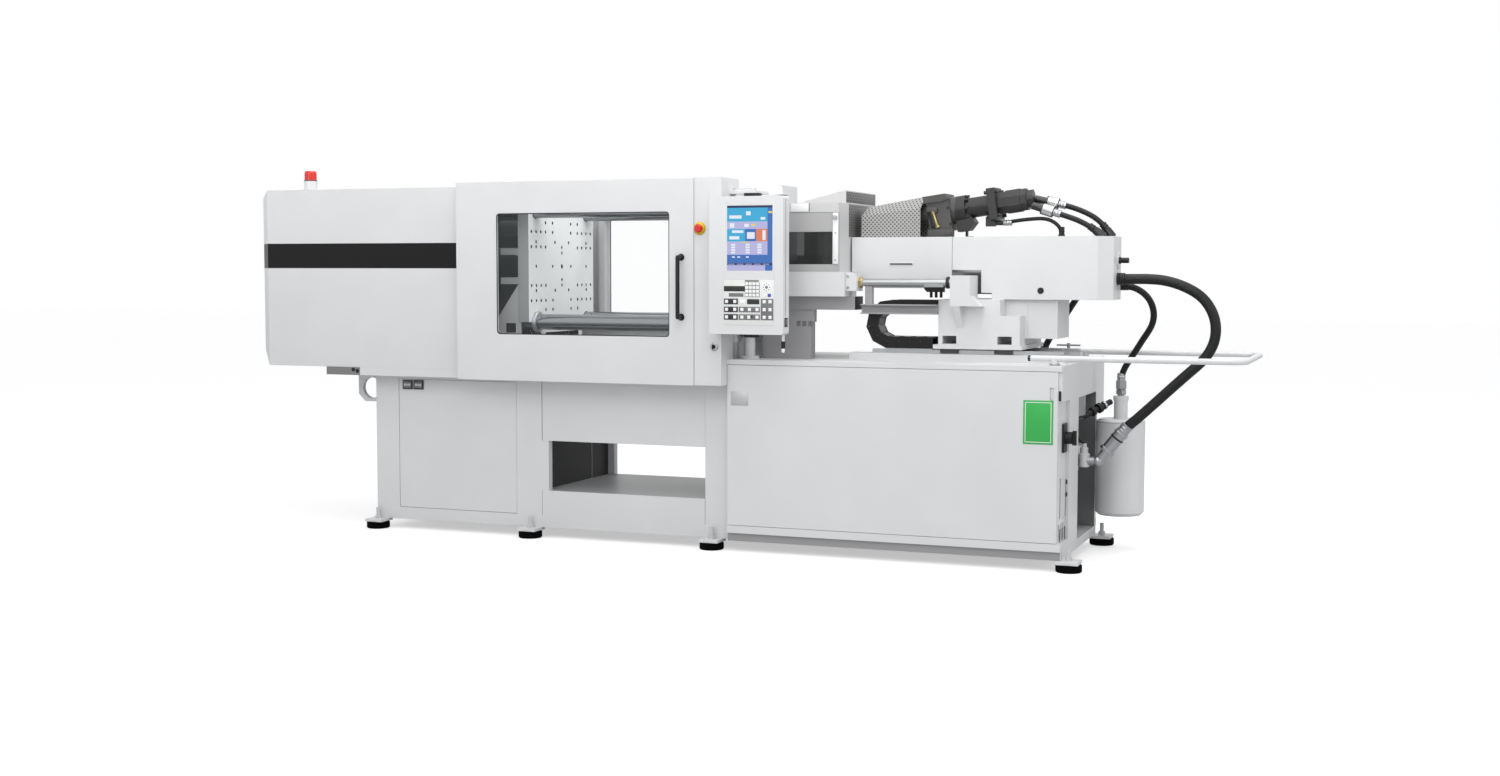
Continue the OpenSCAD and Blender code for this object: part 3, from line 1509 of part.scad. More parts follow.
// Plasticizing barrel, drive block with cap, bearing ring, sump, neck and motor flange
module plasticizer() color(dark) {
  on_screw() {
    rod_x(screw_tube_x0, screw_block_x0, 0, 0, screw_tube_d);
    centred_block(screw_block_x0, screw_block_x1, screw_block_w / 2, screw_block_h0, screw_block_h1);
    centred_block(screw_block_x0 - screw_cap_over, screw_block_x1 - screw_cap_over,
      screw_block_w / 2 + screw_cap_over, screw_block_h1, screw_block_h1 + screw_cap_h);
    rod_x(screw_block_x1, screw_block_x1 + screw_ring_l, 0, 0, screw_ring_d);
    rod_x(screw_block_x1 + screw_ring_l, screw_flange_x, 0, 0, screw_neck_d);
    centred_block(screw_flange_x, screw_flange_x + screw_flange_l, screw_flange_w / 2,
      -screw_flange_w / 2, screw_flange_w / 2);
    drive_bolts(screw_block_x1 + screw_ring_l);
    side_plate([[sump_x0, 0], [sump_x0, sump_low], [sump_x1 - sump_nose, sump_low],
      [sump_x1, sump_low + sump_nose], [sump_x1 - sump_nose, 0]], -sump_half, sump_half);
  }
  centred_block(screw_foot_x0, screw_foot_x0 + screw_foot_l, screw_foot_w / 2, beam_top,
    screw_pivot_z + screw_block_h0);
  translate([drain_block_x0, drain_route[0][1] - drain_block_w / 2, drain_block_z0])
    cube([drain_block_l, drain_block_w, drain_block_h]);
  rod_x(drain_block_x0 + drain_block_l, drain_route[0][0], drain_route[0][1], drain_route[0][2], drain_stub_d);
}

// Hydraulic motor: eight-sided body, round end cap and two port stubs with collars
module screw_motor() color(dark) {
  on_screw() motor_body();
  motor_port(port_a_base, motor_a_route[0]);
  motor_port(port_b_base, motor_b_route[0]);
}

module motor_port(base, tip) {
  rod_between(base, tip, port_stub_d);
  rod_between(tip - port_collar_l * unit(tip - base), tip, port_collar_d);
}

module motor_prism(x0, x1, d) {
  translate([x0, 0, 0]) rotate([0, 90, 0]) rotate([0, 0, 180 / motor_sides])
    cylinder(d = d, h = x1 - x0, $fn = motor_sides);
}

module motor_body() {
  motor_prism(motor_x0, motor_x0 + motor_l, motor_d);
  motor_prism(motor_x0 + motor_step_l, motor_x0 + motor_l - motor_cap_l, motor_d + 2 * motor_step_over);
  rod_x(motor_x0 + motor_l, motor_x0 + motor_l + motor_cap_l, 0, 0, motor_cap_d);
}

// Valve box under the right beam cover, with a recessed lid
module valve_box() color(white) difference() {
  union() {
    centred_block(valve_x0, valve_x1, valve_half, valve_step_z, beam_bottom);
    centred_block(valve_low_x0, valve_x1, valve_half, valve_bottom, valve_step_z);
  }
  both_sides() block(valve_low_x0 + valve_rim, valve_x1 - valve_rim, valve_half - valve_recess,
    valve_half + overrun, valve_bottom + valve_rim, beam_bottom - valve_rim);
}

// Drag chain: links along a lower run, a half turn and an upper run
chain_low_run = chain_low_end_x - chain_turn_x;
chain_bend = PI * chain_r;
chain_length = chain_low_run + chain_bend + chain_high_end_x - chain_turn_x;
link_l = chain_length / chain_links;

// Place [x, z, turn] at a distance along the chain's middle line
function chain_place(s) =
  s < chain_low_run ? [chain_low_end_x - s, chain_low_z, 180]
  : s > chain_low_run + chain_bend
    ? [chain_turn_x + s - chain_low_run - chain_bend, chain_low_z + 2 * chain_r, 0]
  : let (a = (s - chain_low_run) / chain_r * 180 / PI)
    [chain_turn_x - chain_r * sin(a), chain_low_z + chain_r - chain_r * cos(a), 180 - a];

module on_chain(s) {
  p = chain_place(s);
  translate([p[0], chain_y0, p[1]]) rotate([0, -p[2], 0]) children();
}

module chain_link() {
  half = link_l / 2 - link_gap / 2;
  inner = half * link_inner_share;
  outline = [[-inner, -chain_h / 2], [inner, -chain_h / 2], [half, 0], [inner, chain_h / 2],
    [-inner, chain_h / 2], [-half, 0]];
  for (y = [0, chain_w - chain_wall]) side_plate(outline, y, y + chain_wall);
  for (z = [-chain_h / 2, chain_h / 2 - chain_bar]) block(-inner / 2, inner / 2, chain_wall,
    chain_w - chain_wall, z, z + chain_bar);
}

module drag_chain() color(black) {
  for (i = [0:chain_links - 1]) on_chain((i + 1 / 2) * link_l) chain_link();
  for (i = [1:chain_links - 1], y = [0, chain_w - chain_wall]) on_chain(i * link_l)
    rod_y(0, y - chain_pin_over, y + chain_wall + chain_pin_over, 0, chain_pin_d);
}

// Hoses
main_tip = main_route[len(main_route) - 1];
main_end = unit([main_elbow_x, 0, main_pipe_z] - main_tip);
module main_hose() color(black) hose(main_route, main_hose_d, [1, 0, 0], main_end);

module return_hose() color(black) hose(return_route, return_hose_d, [1, 0, 0], [0, 0, -1]);

module motor_hose_a() color(black) hose(motor_a_route, motor_hose_d,
  unit(motor_a_route[0] - port_a_base), unit(gland_a_base - motor_a_route[5]));

module motor_hose_b() color(black) hose(motor_b_route, motor_hose_d,
  unit(motor_b_route[0] - port_b_base), unit(gland_b_base - motor_b_route[4]));

module drain_hose() color(black) hose(drain_route, drain_hose_d, [1, 0, 0], [0, 0, -1]);

module rear_hose() color(black) hose(rear_route, rear_hose_d, unit(rear_route[0] - gland_r_base), [0, 0, -1]);

base_frame();
chute_tray();
left_base_panels();
machine_bed();
cabinet_panels();
foot_pads();
levelling_screws();
clamp_bed();
clamp_cover();
signal_lamp();
fixed_platen();
clamp_cylinder();
tie_bars();
door_tracks();
operator_column();
rear_column();
shot_counters();
panel_post();
slide_rails();
nozzle_guard();
purge_skirt();
injection_pedestal();
cylinder_anchor();
accumulator();
oil_tank();
filter_unit();
guard_rail();
hose_fittings();
operator_door();
operator_window();
operator_handle();
rear_door();
rear_window();
purge_door();
purge_window();
moving_platen();
control_panel();
panel_screen();
panel_keypad();
e_stop_button();
key_switch();
main_switch_knob();
t_handle();
saddle();
guide_blocks();
beam_covers();
injection_barrel();
carriage_barrel();
chain_tray();
barrel_guard();
plasticizer();
screw_motor();
valve_box();
drag_chain();
main_hose();
return_hose();
motor_hose_a();
motor_hose_b();
drain_hose();
rear_hose();
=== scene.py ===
"""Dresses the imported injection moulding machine: finishes, hoses, trim, panel, light and camera."""

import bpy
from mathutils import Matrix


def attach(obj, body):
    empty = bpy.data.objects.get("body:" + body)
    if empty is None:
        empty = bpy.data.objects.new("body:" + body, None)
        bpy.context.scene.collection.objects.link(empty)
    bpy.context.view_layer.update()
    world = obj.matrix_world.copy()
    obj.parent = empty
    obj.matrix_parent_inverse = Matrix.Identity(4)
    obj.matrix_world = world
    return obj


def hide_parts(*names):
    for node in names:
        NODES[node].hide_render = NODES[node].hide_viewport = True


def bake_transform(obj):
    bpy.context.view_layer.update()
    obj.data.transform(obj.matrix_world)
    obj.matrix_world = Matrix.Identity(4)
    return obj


bl_info = {
    "name": "Injection Moulding Machine",
    "version": (1, 0, 0),
    "blender": (4, 5, 0),
    "location": "View3D > Sidebar > Machine",
    "description": "Builds the visible finish and the small pieces of an injection moulding machine",
    "category": "Object",
}

import math

import bmesh
import bpy
from bpy.props import FloatProperty, FloatVectorProperty, PointerProperty
from mathutils import Matrix, Vector

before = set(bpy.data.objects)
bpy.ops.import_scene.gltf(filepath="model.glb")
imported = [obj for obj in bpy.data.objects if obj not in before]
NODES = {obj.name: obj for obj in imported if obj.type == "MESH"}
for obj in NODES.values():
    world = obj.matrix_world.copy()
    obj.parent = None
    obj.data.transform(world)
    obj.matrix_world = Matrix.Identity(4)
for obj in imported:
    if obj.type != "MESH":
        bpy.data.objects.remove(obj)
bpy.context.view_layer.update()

MM = 0.001
X_WAY, Y_WAY, Z_WAY = Vector((1, 0, 0)), Vector((0, 1, 0)), Vector((0, 0, 1))
OPERATOR_WAY = -Y_WAY
PAINT_IOR, PANE_IOR = 1.5, 1.49
SMOOTH_UNDER_DEG = 38
FINISH = {}
# The two finishes that most small pieces have
ZINC, BLACK_PLASTIC = "zinc plated steel", "black moulded plastic"

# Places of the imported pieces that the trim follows, in millimetres
CABINET_FACE, COUNTER_FACE, DOOR_FACE, PANEL_FACE, GUARD_FACE, BEAM_FACE = -461, -406, -534, -624, -345, -165
STRIP_X = 1762
END_BAY_LOW, END_BAY_HIGH = (1328, -50, 93), (1777, 410, 765)
TIE_BAR_YS, TIE_BAR_ZS = (-285, 285), (1095, 1665)
PANEL_LEFT_X, PANEL_RIGHT_X = 130, 503
SCREEN_LEFT_X, SCREEN_LOW_Z, SCREEN_W, SCREEN_H = 222, 1359, 228, 304
CYLINDER_Y, CYLINDER_Z = -282, 1304
ACCUMULATOR_X, ACCUMULATOR_Y = 1913, 330


def linear(hex_code):
    """An sRGB hex colour as linear RGBA."""
    values = [int(hex_code[i:i + 2], 16) / 255 for i in (0, 2, 4)]
    return tuple(v / 12.92 if v <= 0.04045 else ((v + 0.055) / 1.055) ** 2.4 for v in values) + (1.0,)


def at(x, y, z):
    """A point given in millimetres, in metres."""
    return Vector((x, y, z)) * MM


def shade(colour, share):
    """A colour made darker or lighter by a share."""
    return tuple(min(c * share, 1) for c in colour[:3]) + (1.0,)


def give(tree, node, inputs):
    """Gives each named input a value, or a link from an output."""
    for key, source in inputs.items():
        if isinstance(source, bpy.types.NodeSocket):
            tree.links.new(source, node.inputs[key])
        else:
            node.inputs[key].default_value = source


def add_node(tree, kind, inputs=None, **settings):
    """Adds a node, sets its properties and gives its inputs their values and links."""
    node = tree.nodes.new(kind)
    for key, value in settings.items():
        setattr(node, key, value)
    give(tree, node, inputs or {})
    return node


def new_finish(name):
    """An empty material: its node tree, its principled shader and the place in the machine's frame."""
    material = bpy.data.materials.new(name)
    material.use_nodes = True
    tree = material.node_tree
    tree.nodes.clear()
    shader = add_node(tree, "ShaderNodeBsdfPrincipled")
    add_node(tree, "ShaderNodeOutputMaterial", {"Surface": shader.outputs["BSDF"]})
    FINISH[name] = material
    return tree, shader, add_node(tree, "ShaderNodeTexCoord").outputs["Object"]


def worked_out(tree, operation, *terms):
    """What a calculation on outputs and numbers gives."""
    return add_node(tree, "ShaderNodeMath", dict(enumerate(terms)), operation=operation).outputs[0]


def mixed(tree, factor, first, second):
    """A colour between two others."""
    inputs = {"Factor": factor, 6: first, 7: second}
    return add_node(tree, "ShaderNodeMix", inputs, data_type="RGBA").outputs[2]


def ranged(tree, factor, low, high):
    """A number that runs from low to high with the factor."""
    inputs = {"Value": factor, "To Min": low, "To Max": high}
    return add_node(tree, "ShaderNodeMapRange", inputs).outputs["Result"]


def grain(tree, place, size_mm, detail=2.0):
    """Noise whose features are about size_mm across."""
    inputs = {"Vector": place, "Scale": 1 / (size_mm * MM), "Detail": detail}
    return add_node(tree, "ShaderNodeTexNoise", inputs).outputs["Fac"]


def tone(tree, colour, factor, spread):
    """A colour that drifts by the given share with the factor."""
    ramp = add_node(tree, "ShaderNodeValToRGB", {"Fac": factor})
    low, high = ramp.color_ramp.elements
    low.position, low.color = 0.3, shade(colour, 1 - spread)
    high.position, high.color = 0.7, shade(colour, 1 + spread)
    return ramp.outputs["Color"]


def relief(tree, height, strength, depth_mm, edge_mm):
    """Bump over edges that are eased by edge_mm."""
    edge = add_node(tree, "ShaderNodeBevel", {"Radius": edge_mm * MM}, samples=4)
    return add_node(tree, "ShaderNodeBump", {
        "Height": height, "Normal": edge.outputs["Normal"], "Strength": strength,
        "Distance": depth_mm * MM}).outputs["Normal"]


def zoned(tree, place, paint, zones):
    """Other colours over the paint. zones are (limits, colour), limits being (axis, low mm, high mm):
    where a point lies inside all of them, it has that colour."""
    split = add_node(tree, "ShaderNodeSeparateXYZ", {"Vector": place}).outputs
    for limits, other in zones:
        inside = 1.0
        for axis, low, high in limits:
            within = worked_out(tree, "COMPARE", split[axis], (low + high) / 2 * MM, (high - low) / 2 * MM)
            inside = worked_out(tree, "MULTIPLY", inside, within)
        paint = mixed(tree, inside, paint, other)
    return paint


def coated(name, colour, rough=0.4, drift=0.02, edge_mm=1.5, zones=(), shine=0.5):
    """Powder-coated sheet steel: even colour, faint orange peel, eased edges."""
    tree, shader, place = new_finish(name)
    paint = tone(tree, colour, grain(tree, place, 260, 3.0), drift)
    give(tree, shader, {
        "Base Color": zoned(tree, place, paint, zones), "Roughness": rough, "IOR": PAINT_IOR,
        "Specular IOR Level": shine, "Normal": relief(tree, grain(tree, place, 3.0), 0.08, 0.25, edge_mm)})


def machined(name, colour, rough, line_mm, along, edge_mm=0.8, metal=1.0, zones=()):
    """Cut or ground steel: fine tool lines along one axis, uneven gloss."""
    tree, shader, place = new_finish(name)
    stretch = [0.02 if axis == along else 1.0 for axis in range(3)]
    drawn = add_node(tree, "ShaderNodeMapping", {"Vector": place, "Scale": stretch}).outputs["Vector"]
    lines = grain(tree, drawn, line_mm, 3.0)
    give(tree, shader, {
        "Base Color": zoned(tree, place, tone(tree, colour, lines, 0.06), zones), "Metallic": metal,
        "Roughness": ranged(tree, lines, rough * 0.8, rough * 1.25),
        "Normal": relief(tree, lines, 0.05, 0.1, edge_mm)})


def moulded(name, colour, rough, grit_mm, depth_mm=0.2, edge_mm=1.0, drift=0.08, shine=0.5):
    """Moulded plastic or rubber: fine spark grain and a slight drift of tone."""
    tree, shader, place = new_finish(name)
    give(tree, shader, {
        "Base Color": tone(tree, colour, grain(tree, place, 60), drift), "Roughness": rough, "IOR": PAINT_IOR,
        "Specular IOR Level": shine,
        "Normal": relief(tree, grain(tree, place, grit_mm), 0.2, depth_mm, edge_mm)})


def perforated(name, sheet, hole, pitch_mm, axes, fill=0.35):
    """Perforated steel sheet: round holes on a staggered grid. The holes are painted shade: dark spots where
    one would see into the shade behind the sheet.
    """
    tree, shader, place = new_finish(name)
    split = add_node(tree, "ShaderNodeSeparateXYZ", {"Vector": place}).outputs
    turns = [worked_out(tree, "MULTIPLY", split[axis], math.pi / (pitch_mm * MM)) for axis in axes]
    waves = [worked_out(tree, "SINE", turn) for turn in turns]
    open_hole = worked_out(tree, "GREATER_THAN", worked_out(tree, "MULTIPLY", *waves), fill)
    sink = worked_out(tree, "MULTIPLY", open_hole, -1.0)
    give(tree, shader, {
        "Base Color": mixed(tree, open_hole, sheet, hole), "Roughness": 0.45, "Metallic": 0.3,
        "Normal": relief(tree, sink, 0.5, 1.0, 0.8)})


def pane(name, colour, alpha, rough=0.03):
    """Cast sheet: clear or smoked, with faint wiping marks in its gloss."""
    tree, shader, place = new_finish(name)
    smear = grain(tree, place, 180, 4.0)
    give(tree, shader, {
        "Base Color": tone(tree, colour, smear, 0.03), "Roughness": ranged(tree, smear, rough, rough * 2.5),
        "Alpha": alpha, "IOR": PANE_IOR})
    FINISH[name].surface_render_method = "BLENDED"


def lit(name, colour, strength=0.95):
    """Lit display area behind glossy film: light that varies a little from dot to dot."""
    tree, shader, place = new_finish(name)
    dots = grain(tree, place, 6.0)
    give(tree, shader, {
        "Base Color": tone(tree, shade(colour, 0.05), dots, 0.05), "Roughness": 0.2,
        "Emission Color": mixed(tree, dots, shade(colour, 0.92), colour), "Emission Strength": strength})


class Shape:
    """Solids of one piece, in metres in the machine's frame, each with a finish of its own."""

    def __init__(self):
        self.mesh = bmesh.new()
        self.finishes = []

    def paint(self, faces, finish):
        if finish not in self.finishes:
            self.finishes.append(finish)
        for face in faces:
            face.material_index = self.finishes.index(finish)

    def block(self, low, high, finish, soft=0.0):
        """A block between two corners in millimetres, with edges eased by soft millimetres."""
        low, high = at(*low), at(*high)
        made = bmesh.ops.create_cube(self.mesh, size=1.0)["verts"]
        for v in made:
            v.co = Vector([low[i] + (v.co[i] + 0.5) * (high[i] - low[i]) for i in range(3)])
        faces = {f for v in made for f in v.link_faces}
        self.paint(faces, finish)
        if soft:
            edges = {e for v in made for e in v.link_edges}
            index = self.finishes.index(finish)
            done = bmesh.ops.bevel(self.mesh, geom=list(edges), offset=soft * MM, segments=2,
                                   affect="EDGES", profile=0.5)
            for face in done["faces"]:
                face.material_index = index

    def ring(self, middle, side, up, radius, sides):
        """Corners of a circle of radius millimetres."""
        turns = [math.tau * k / sides for k in range(sides)]
        return [self.mesh.verts.new(middle + (side * math.cos(a) + up * math.sin(a)) * (radius * MM))
                for a in turns]

    def wall(self, near, far):
        """Faces between two loops of corners, either of which may be one point."""
        n = max(len(near), len(far))
        faces = []
        for k in range(n):
            m = (k + 1) % n
            corners = [near[k % len(near)], near[m % len(near)], far[m % len(far)], far[k % len(far)]]
            corners = list(dict.fromkeys(corners))
            if len(corners) > 2:
                faces.append(self.mesh.faces.new(corners))
        return faces

    def turned(self, start, way, profile, finish, sides=28):
        """A turned solid from start along way. profile holds (distance, radius) in millimetres.

        A profile that ends where it starts makes an open ring, any other one is closed by flat ends."""
        start, way = at(*start), Vector(way).normalized()
        side = way.orthogonal().normalized()
        up = way.cross(side)
        hollow = profile[0] == profile[-1]
        loops = []
        for distance, radius in profile[:-1] if hollow else profile:
            middle = start + way * (distance * MM)
            if radius > 0:
                loops.append(self.ring(middle, side, up, radius, sides))
            else:
                loops.append([self.mesh.verts.new(middle)])
        ends = [] if hollow else [loops[0][::-1], loops[-1]]
        faces = [self.mesh.faces.new(loop) for loop in ends if len(loop) > 1]
        for near, far in zip(loops, loops[1:] + loops[:1] if hollow else loops[1:]):
            faces += self.wall(near, far)
        self.paint(faces, finish)

    def bar(self, start, end, radius, finish, sides=24, edge=1.0):
        """A round bar between two points in millimetres, with eased ends."""
        run = Vector(end) - Vector(start)
        n = run.length
        self.turned(start, run, [(0, radius - edge), (edge, radius), (n - edge, radius), (n, radius - edge)],
                    finish, sides)

    def nut(self, start, way, across, height, finish):
        """A hexagon nut with chamfered corners."""
        r = across / math.sqrt(3)
        c = height * 0.15
        self.turned(start, way, [(0, r - c), (c, r), (height - c, r), (height, r - c)], finish, 6)

    def screw(self, place, way, radius, finish):
        """A socket head screw: round head with a sunk socket."""
        h = radius * 1.1
        self.turned(place, way, [(0, radius), (h * 0.85, radius), (h, radius * 0.85), (h, radius * 0.5),
                                 (h * 0.4, radius * 0.5), (h * 0.4, 0)], finish, 14)

    def outline(self, points, origin, u, v, depth, finish):
        """A plate: outline points in (u, v) millimetres from origin, extruded by depth along u x v."""
        origin, u, v = Vector(origin), Vector(u), Vector(v)
        near, far = [[self.mesh.verts.new((origin + shift + u * a + v * b) * MM) for a, b in points]
                     for shift in (Vector(), u.cross(v) * depth)]
        ends = [self.mesh.faces.new(near[::-1]), self.mesh.faces.new(far)]
        self.paint(ends + self.wall(near, far), finish)

    def tube(self, points, radius, finish, sides=16):
        """A tube through points in metres, of radius millimetres."""
        points = [Vector(p) for p in points]
        heads = [(b - a).normalized() for a, b in zip(points[:1] + points[:-1], points[1:] + points[-1:])]
        side = heads[0].orthogonal()
        rings = []
        for p, head in zip(points, heads):
            side = (side - head * side.dot(head)).normalized()
            rings.append(self.ring(p, side, head.cross(side), radius, sides))
        faces = [self.mesh.faces.new(rings[0][::-1]), self.mesh.faces.new(rings[-1])]
        for near, far in zip(rings, rings[1:]):
            faces += self.wall(near, far)
        self.paint(faces, finish)

    def piece(self, name, body, slot, blend=None):
        """The finished object, on its body; given blend, it stays on no body."""
        bmesh.ops.recalc_face_normals(self.mesh, faces=self.mesh.faces)
        data = bpy.data.meshes.new(name)
        self.mesh.to_mesh(data)
        self.mesh.free()
        for finish in self.finishes:
            data.materials.append(FINISH[finish])
        data.polygons.foreach_set("use_smooth", [True] * len(data.polygons))
        data.set_sharp_from_angle(angle=math.radians(SMOOTH_UNDER_DEG))
        made = bpy.data.objects.new(name, data)
        bpy.context.scene.collection.objects.link(made)
        if blend:
            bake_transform(made)
        else:
            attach(made, body)
        return made


def smooth_route(points, first, last, steps=6):
    """A smooth line in metres through route points in millimetres, from heading first to heading last."""
    pts = [Vector(p) for p in points]
    tangents = [(b - a).normalized() for a, b in zip(pts, pts[2:])]
    tangents = [Vector(first).normalized(), *tangents, Vector(last).normalized()]
    line = []
    for a, b, from_a, to_b in zip(pts, pts[1:], tangents, tangents[1:]):
        gap = (b - a).length
        for s in range(steps):
            t = s / steps
            line.append(a * (2 * t**3 - 3 * t**2 + 1) + from_a * gap * (t**3 - 2 * t**2 + t)
                        + b * (-2 * t**3 + 3 * t**2) + to_b * gap * (t**3 - t**2))
    return [p * MM for p in line + pts[-1:]]


# Hose routes in millimetres: the same points as in the part's source
MAIN_ROUTE = [(1940, 0, 1323), (2010, 0, 1323), (2080, 0, 1323), (2153, 0, 1317), (2224, 0, 1298),
              (2290, 0, 1267), (2333, 0, 1234), (2365, 0, 1192), (2386, 0, 1142), (2393, 0, 1089),
              (2386, 0, 1036), (2365, 0, 987), (2333, 0, 944), (2262, 0, 877), (2191, 0, 810),
              (2120, 0, 742), (2049, 0, 675), (1978, 0, 608)]
RETURN_ROUTE = [(1940, 110, 1289), (1970, 115, 1288), (2005, 124, 1279), (2040, 139, 1257),
                (2067, 158, 1224), (2082, 178, 1181), (2082, 198, 1136), (2067, 219, 1093),
                (2024, 253, 1029), (1979, 289, 963), (1935, 319, 897), (1919, 328, 861),
                (1913, 330, 826)]
MOTOR_A_ROUTE = [(1656, 22, 1676), (1713, 22, 1662), (1770, 22, 1641), (1822, 22, 1614),
                 (1863, 22, 1580), (1886, 22, 1552)]
MOTOR_B_ROUTE = [(1640, -22, 1637), (1697, -22, 1619), (1752, -22, 1599), (1802, -22, 1574),
                 (1840, -22, 1549)]
DRAIN_ROUTE = [(1405, -20, 1589), (1450, -20, 1596), (1496, -20, 1602), (1542, -20, 1606),
               (1586, -20, 1607), (1622, -20, 1600), (1652, -20, 1583), (1673, -20, 1558),
               (1680, -20, 1530)]
REAR_ROUTE = [(1800, 185, 1400), (1772, 213, 1345), (1742, 236, 1290), (1708, 255, 1236),
              (1672, 268, 1182), (1636, 275, 1128), (1600, 278, 1074), (1565, 279, 1022),
              (1545, 279, 966)]
# name, route, diameter, first and last heading, whether it runs from the carriage to the machine, finish of
# its ends
HOSES = [
    ("main_hose", MAIN_ROUTE, 48, (1, 0, 0), (-116, 0, -146), True, (BLACK_PLASTIC, ZINC)),
    ("return_hose", RETURN_ROUTE, 31, (1, 0, 0), (0, 0, -1), True, (BLACK_PLASTIC, ZINC)),
    ("rear_hose", REAR_ROUTE, 31, (-24, 22, -46), (0, 0, -1), True, (BLACK_PLASTIC, BLACK_PLASTIC)),
    ("motor_hose_a", MOTOR_A_ROUTE, 26, (110, 0, -26), (27, 0, -34), False, (ZINC, BLACK_PLASTIC)),
    ("motor_hose_b", MOTOR_B_ROUTE, 26, (102, 0, -33), (42, 0, -31), False, (ZINC, BLACK_PLASTIC)),
    ("drain_hose", DRAIN_ROUTE, 18, (1, 0, 0), (0, 0, -1), False, (ZINC, BLACK_PLASTIC)),
]
# Crimped ferrule with two rolled grooves: distance from the hose's end, height over the hose
FERRULE = [(-2, 1), (-2, 4.5), (6, 5), (8, 3.6), (11, 3.6), (13, 5), (22, 5), (24, 3.6), (27, 3.6), (29, 5),
           (36, 4.6), (38, 0.6)]


class MachineColours(bpy.types.PropertyGroup):
    """Colours of the machine's finishes."""
    coat: FloatVectorProperty(name="Coat", description="Light powder coat of base, covers and doors",
                              subtype="COLOR", size=4, default=linear("D2D3D4"))
    band: FloatVectorProperty(name="Band", description="Dark band round the clamp cover",
                              subtype="COLOR", size=4, default=linear("131313"))
    mid_grey: FloatVectorProperty(name="Mid grey", description="Grey paint of pedestal and lower guard",
                                  subtype="COLOR", size=4, default=linear("98979A"))
    guard_grey: FloatVectorProperty(name="Guard grey", description="Pale grey of the nozzle guard",
                                    subtype="COLOR", size=4, default=linear("C3C3C3"))
    cast_grey: FloatVectorProperty(name="Cast grey", description="Dark grey of the screw block",
                                   subtype="COLOR", size=4, default=linear("3E3E3D"))
    motor: FloatVectorProperty(name="Motor", description="Near-black paint of the screw motor",
                               subtype="COLOR", size=4, default=linear("1A1A1A"))
    sign: FloatVectorProperty(name="Sign plate", description="Plain green plate on the cabinet",
                              subtype="COLOR", size=4, default=linear("2FA84A"))


class MachineSizes(bpy.types.PropertyGroup):
    """Sizes of the trim, in metres."""
    seal: FloatProperty(name="Window seal", description="Width of the rubber seal round a door's window",
                        default=0.005, unit="LENGTH")
    key_cap: FloatProperty(name="Key cap", description="Side of a square key cap on the control panel",
                           default=0.015, unit="LENGTH")
    link_height: FloatProperty(name="Link height", description="Height of a link of the drag chain",
                               default=0.056, unit="LENGTH")
    link_width: FloatProperty(name="Link width", description="Width of the drag chain",
                              default=0.12, unit="LENGTH")


class MachineLight(bpy.types.PropertyGroup):
    """Strength of the lamps and of the even light."""
    key: FloatProperty(name="Key light", description="Power that each lamp takes a share of",
                       default=150.0, unit="POWER")
    sky: FloatProperty(name="Sky", description="Strength of the even light from all round", default=0.66,
                       subtype="FACTOR")


def colours():
    """The colours set in the sidebar."""
    return bpy.context.scene.machine_colours


def sizes():
    """The sizes set in the sidebar."""
    return bpy.context.scene.machine_sizes


def light():
    """The light set in the sidebar."""
    return bpy.context.scene.machine_light


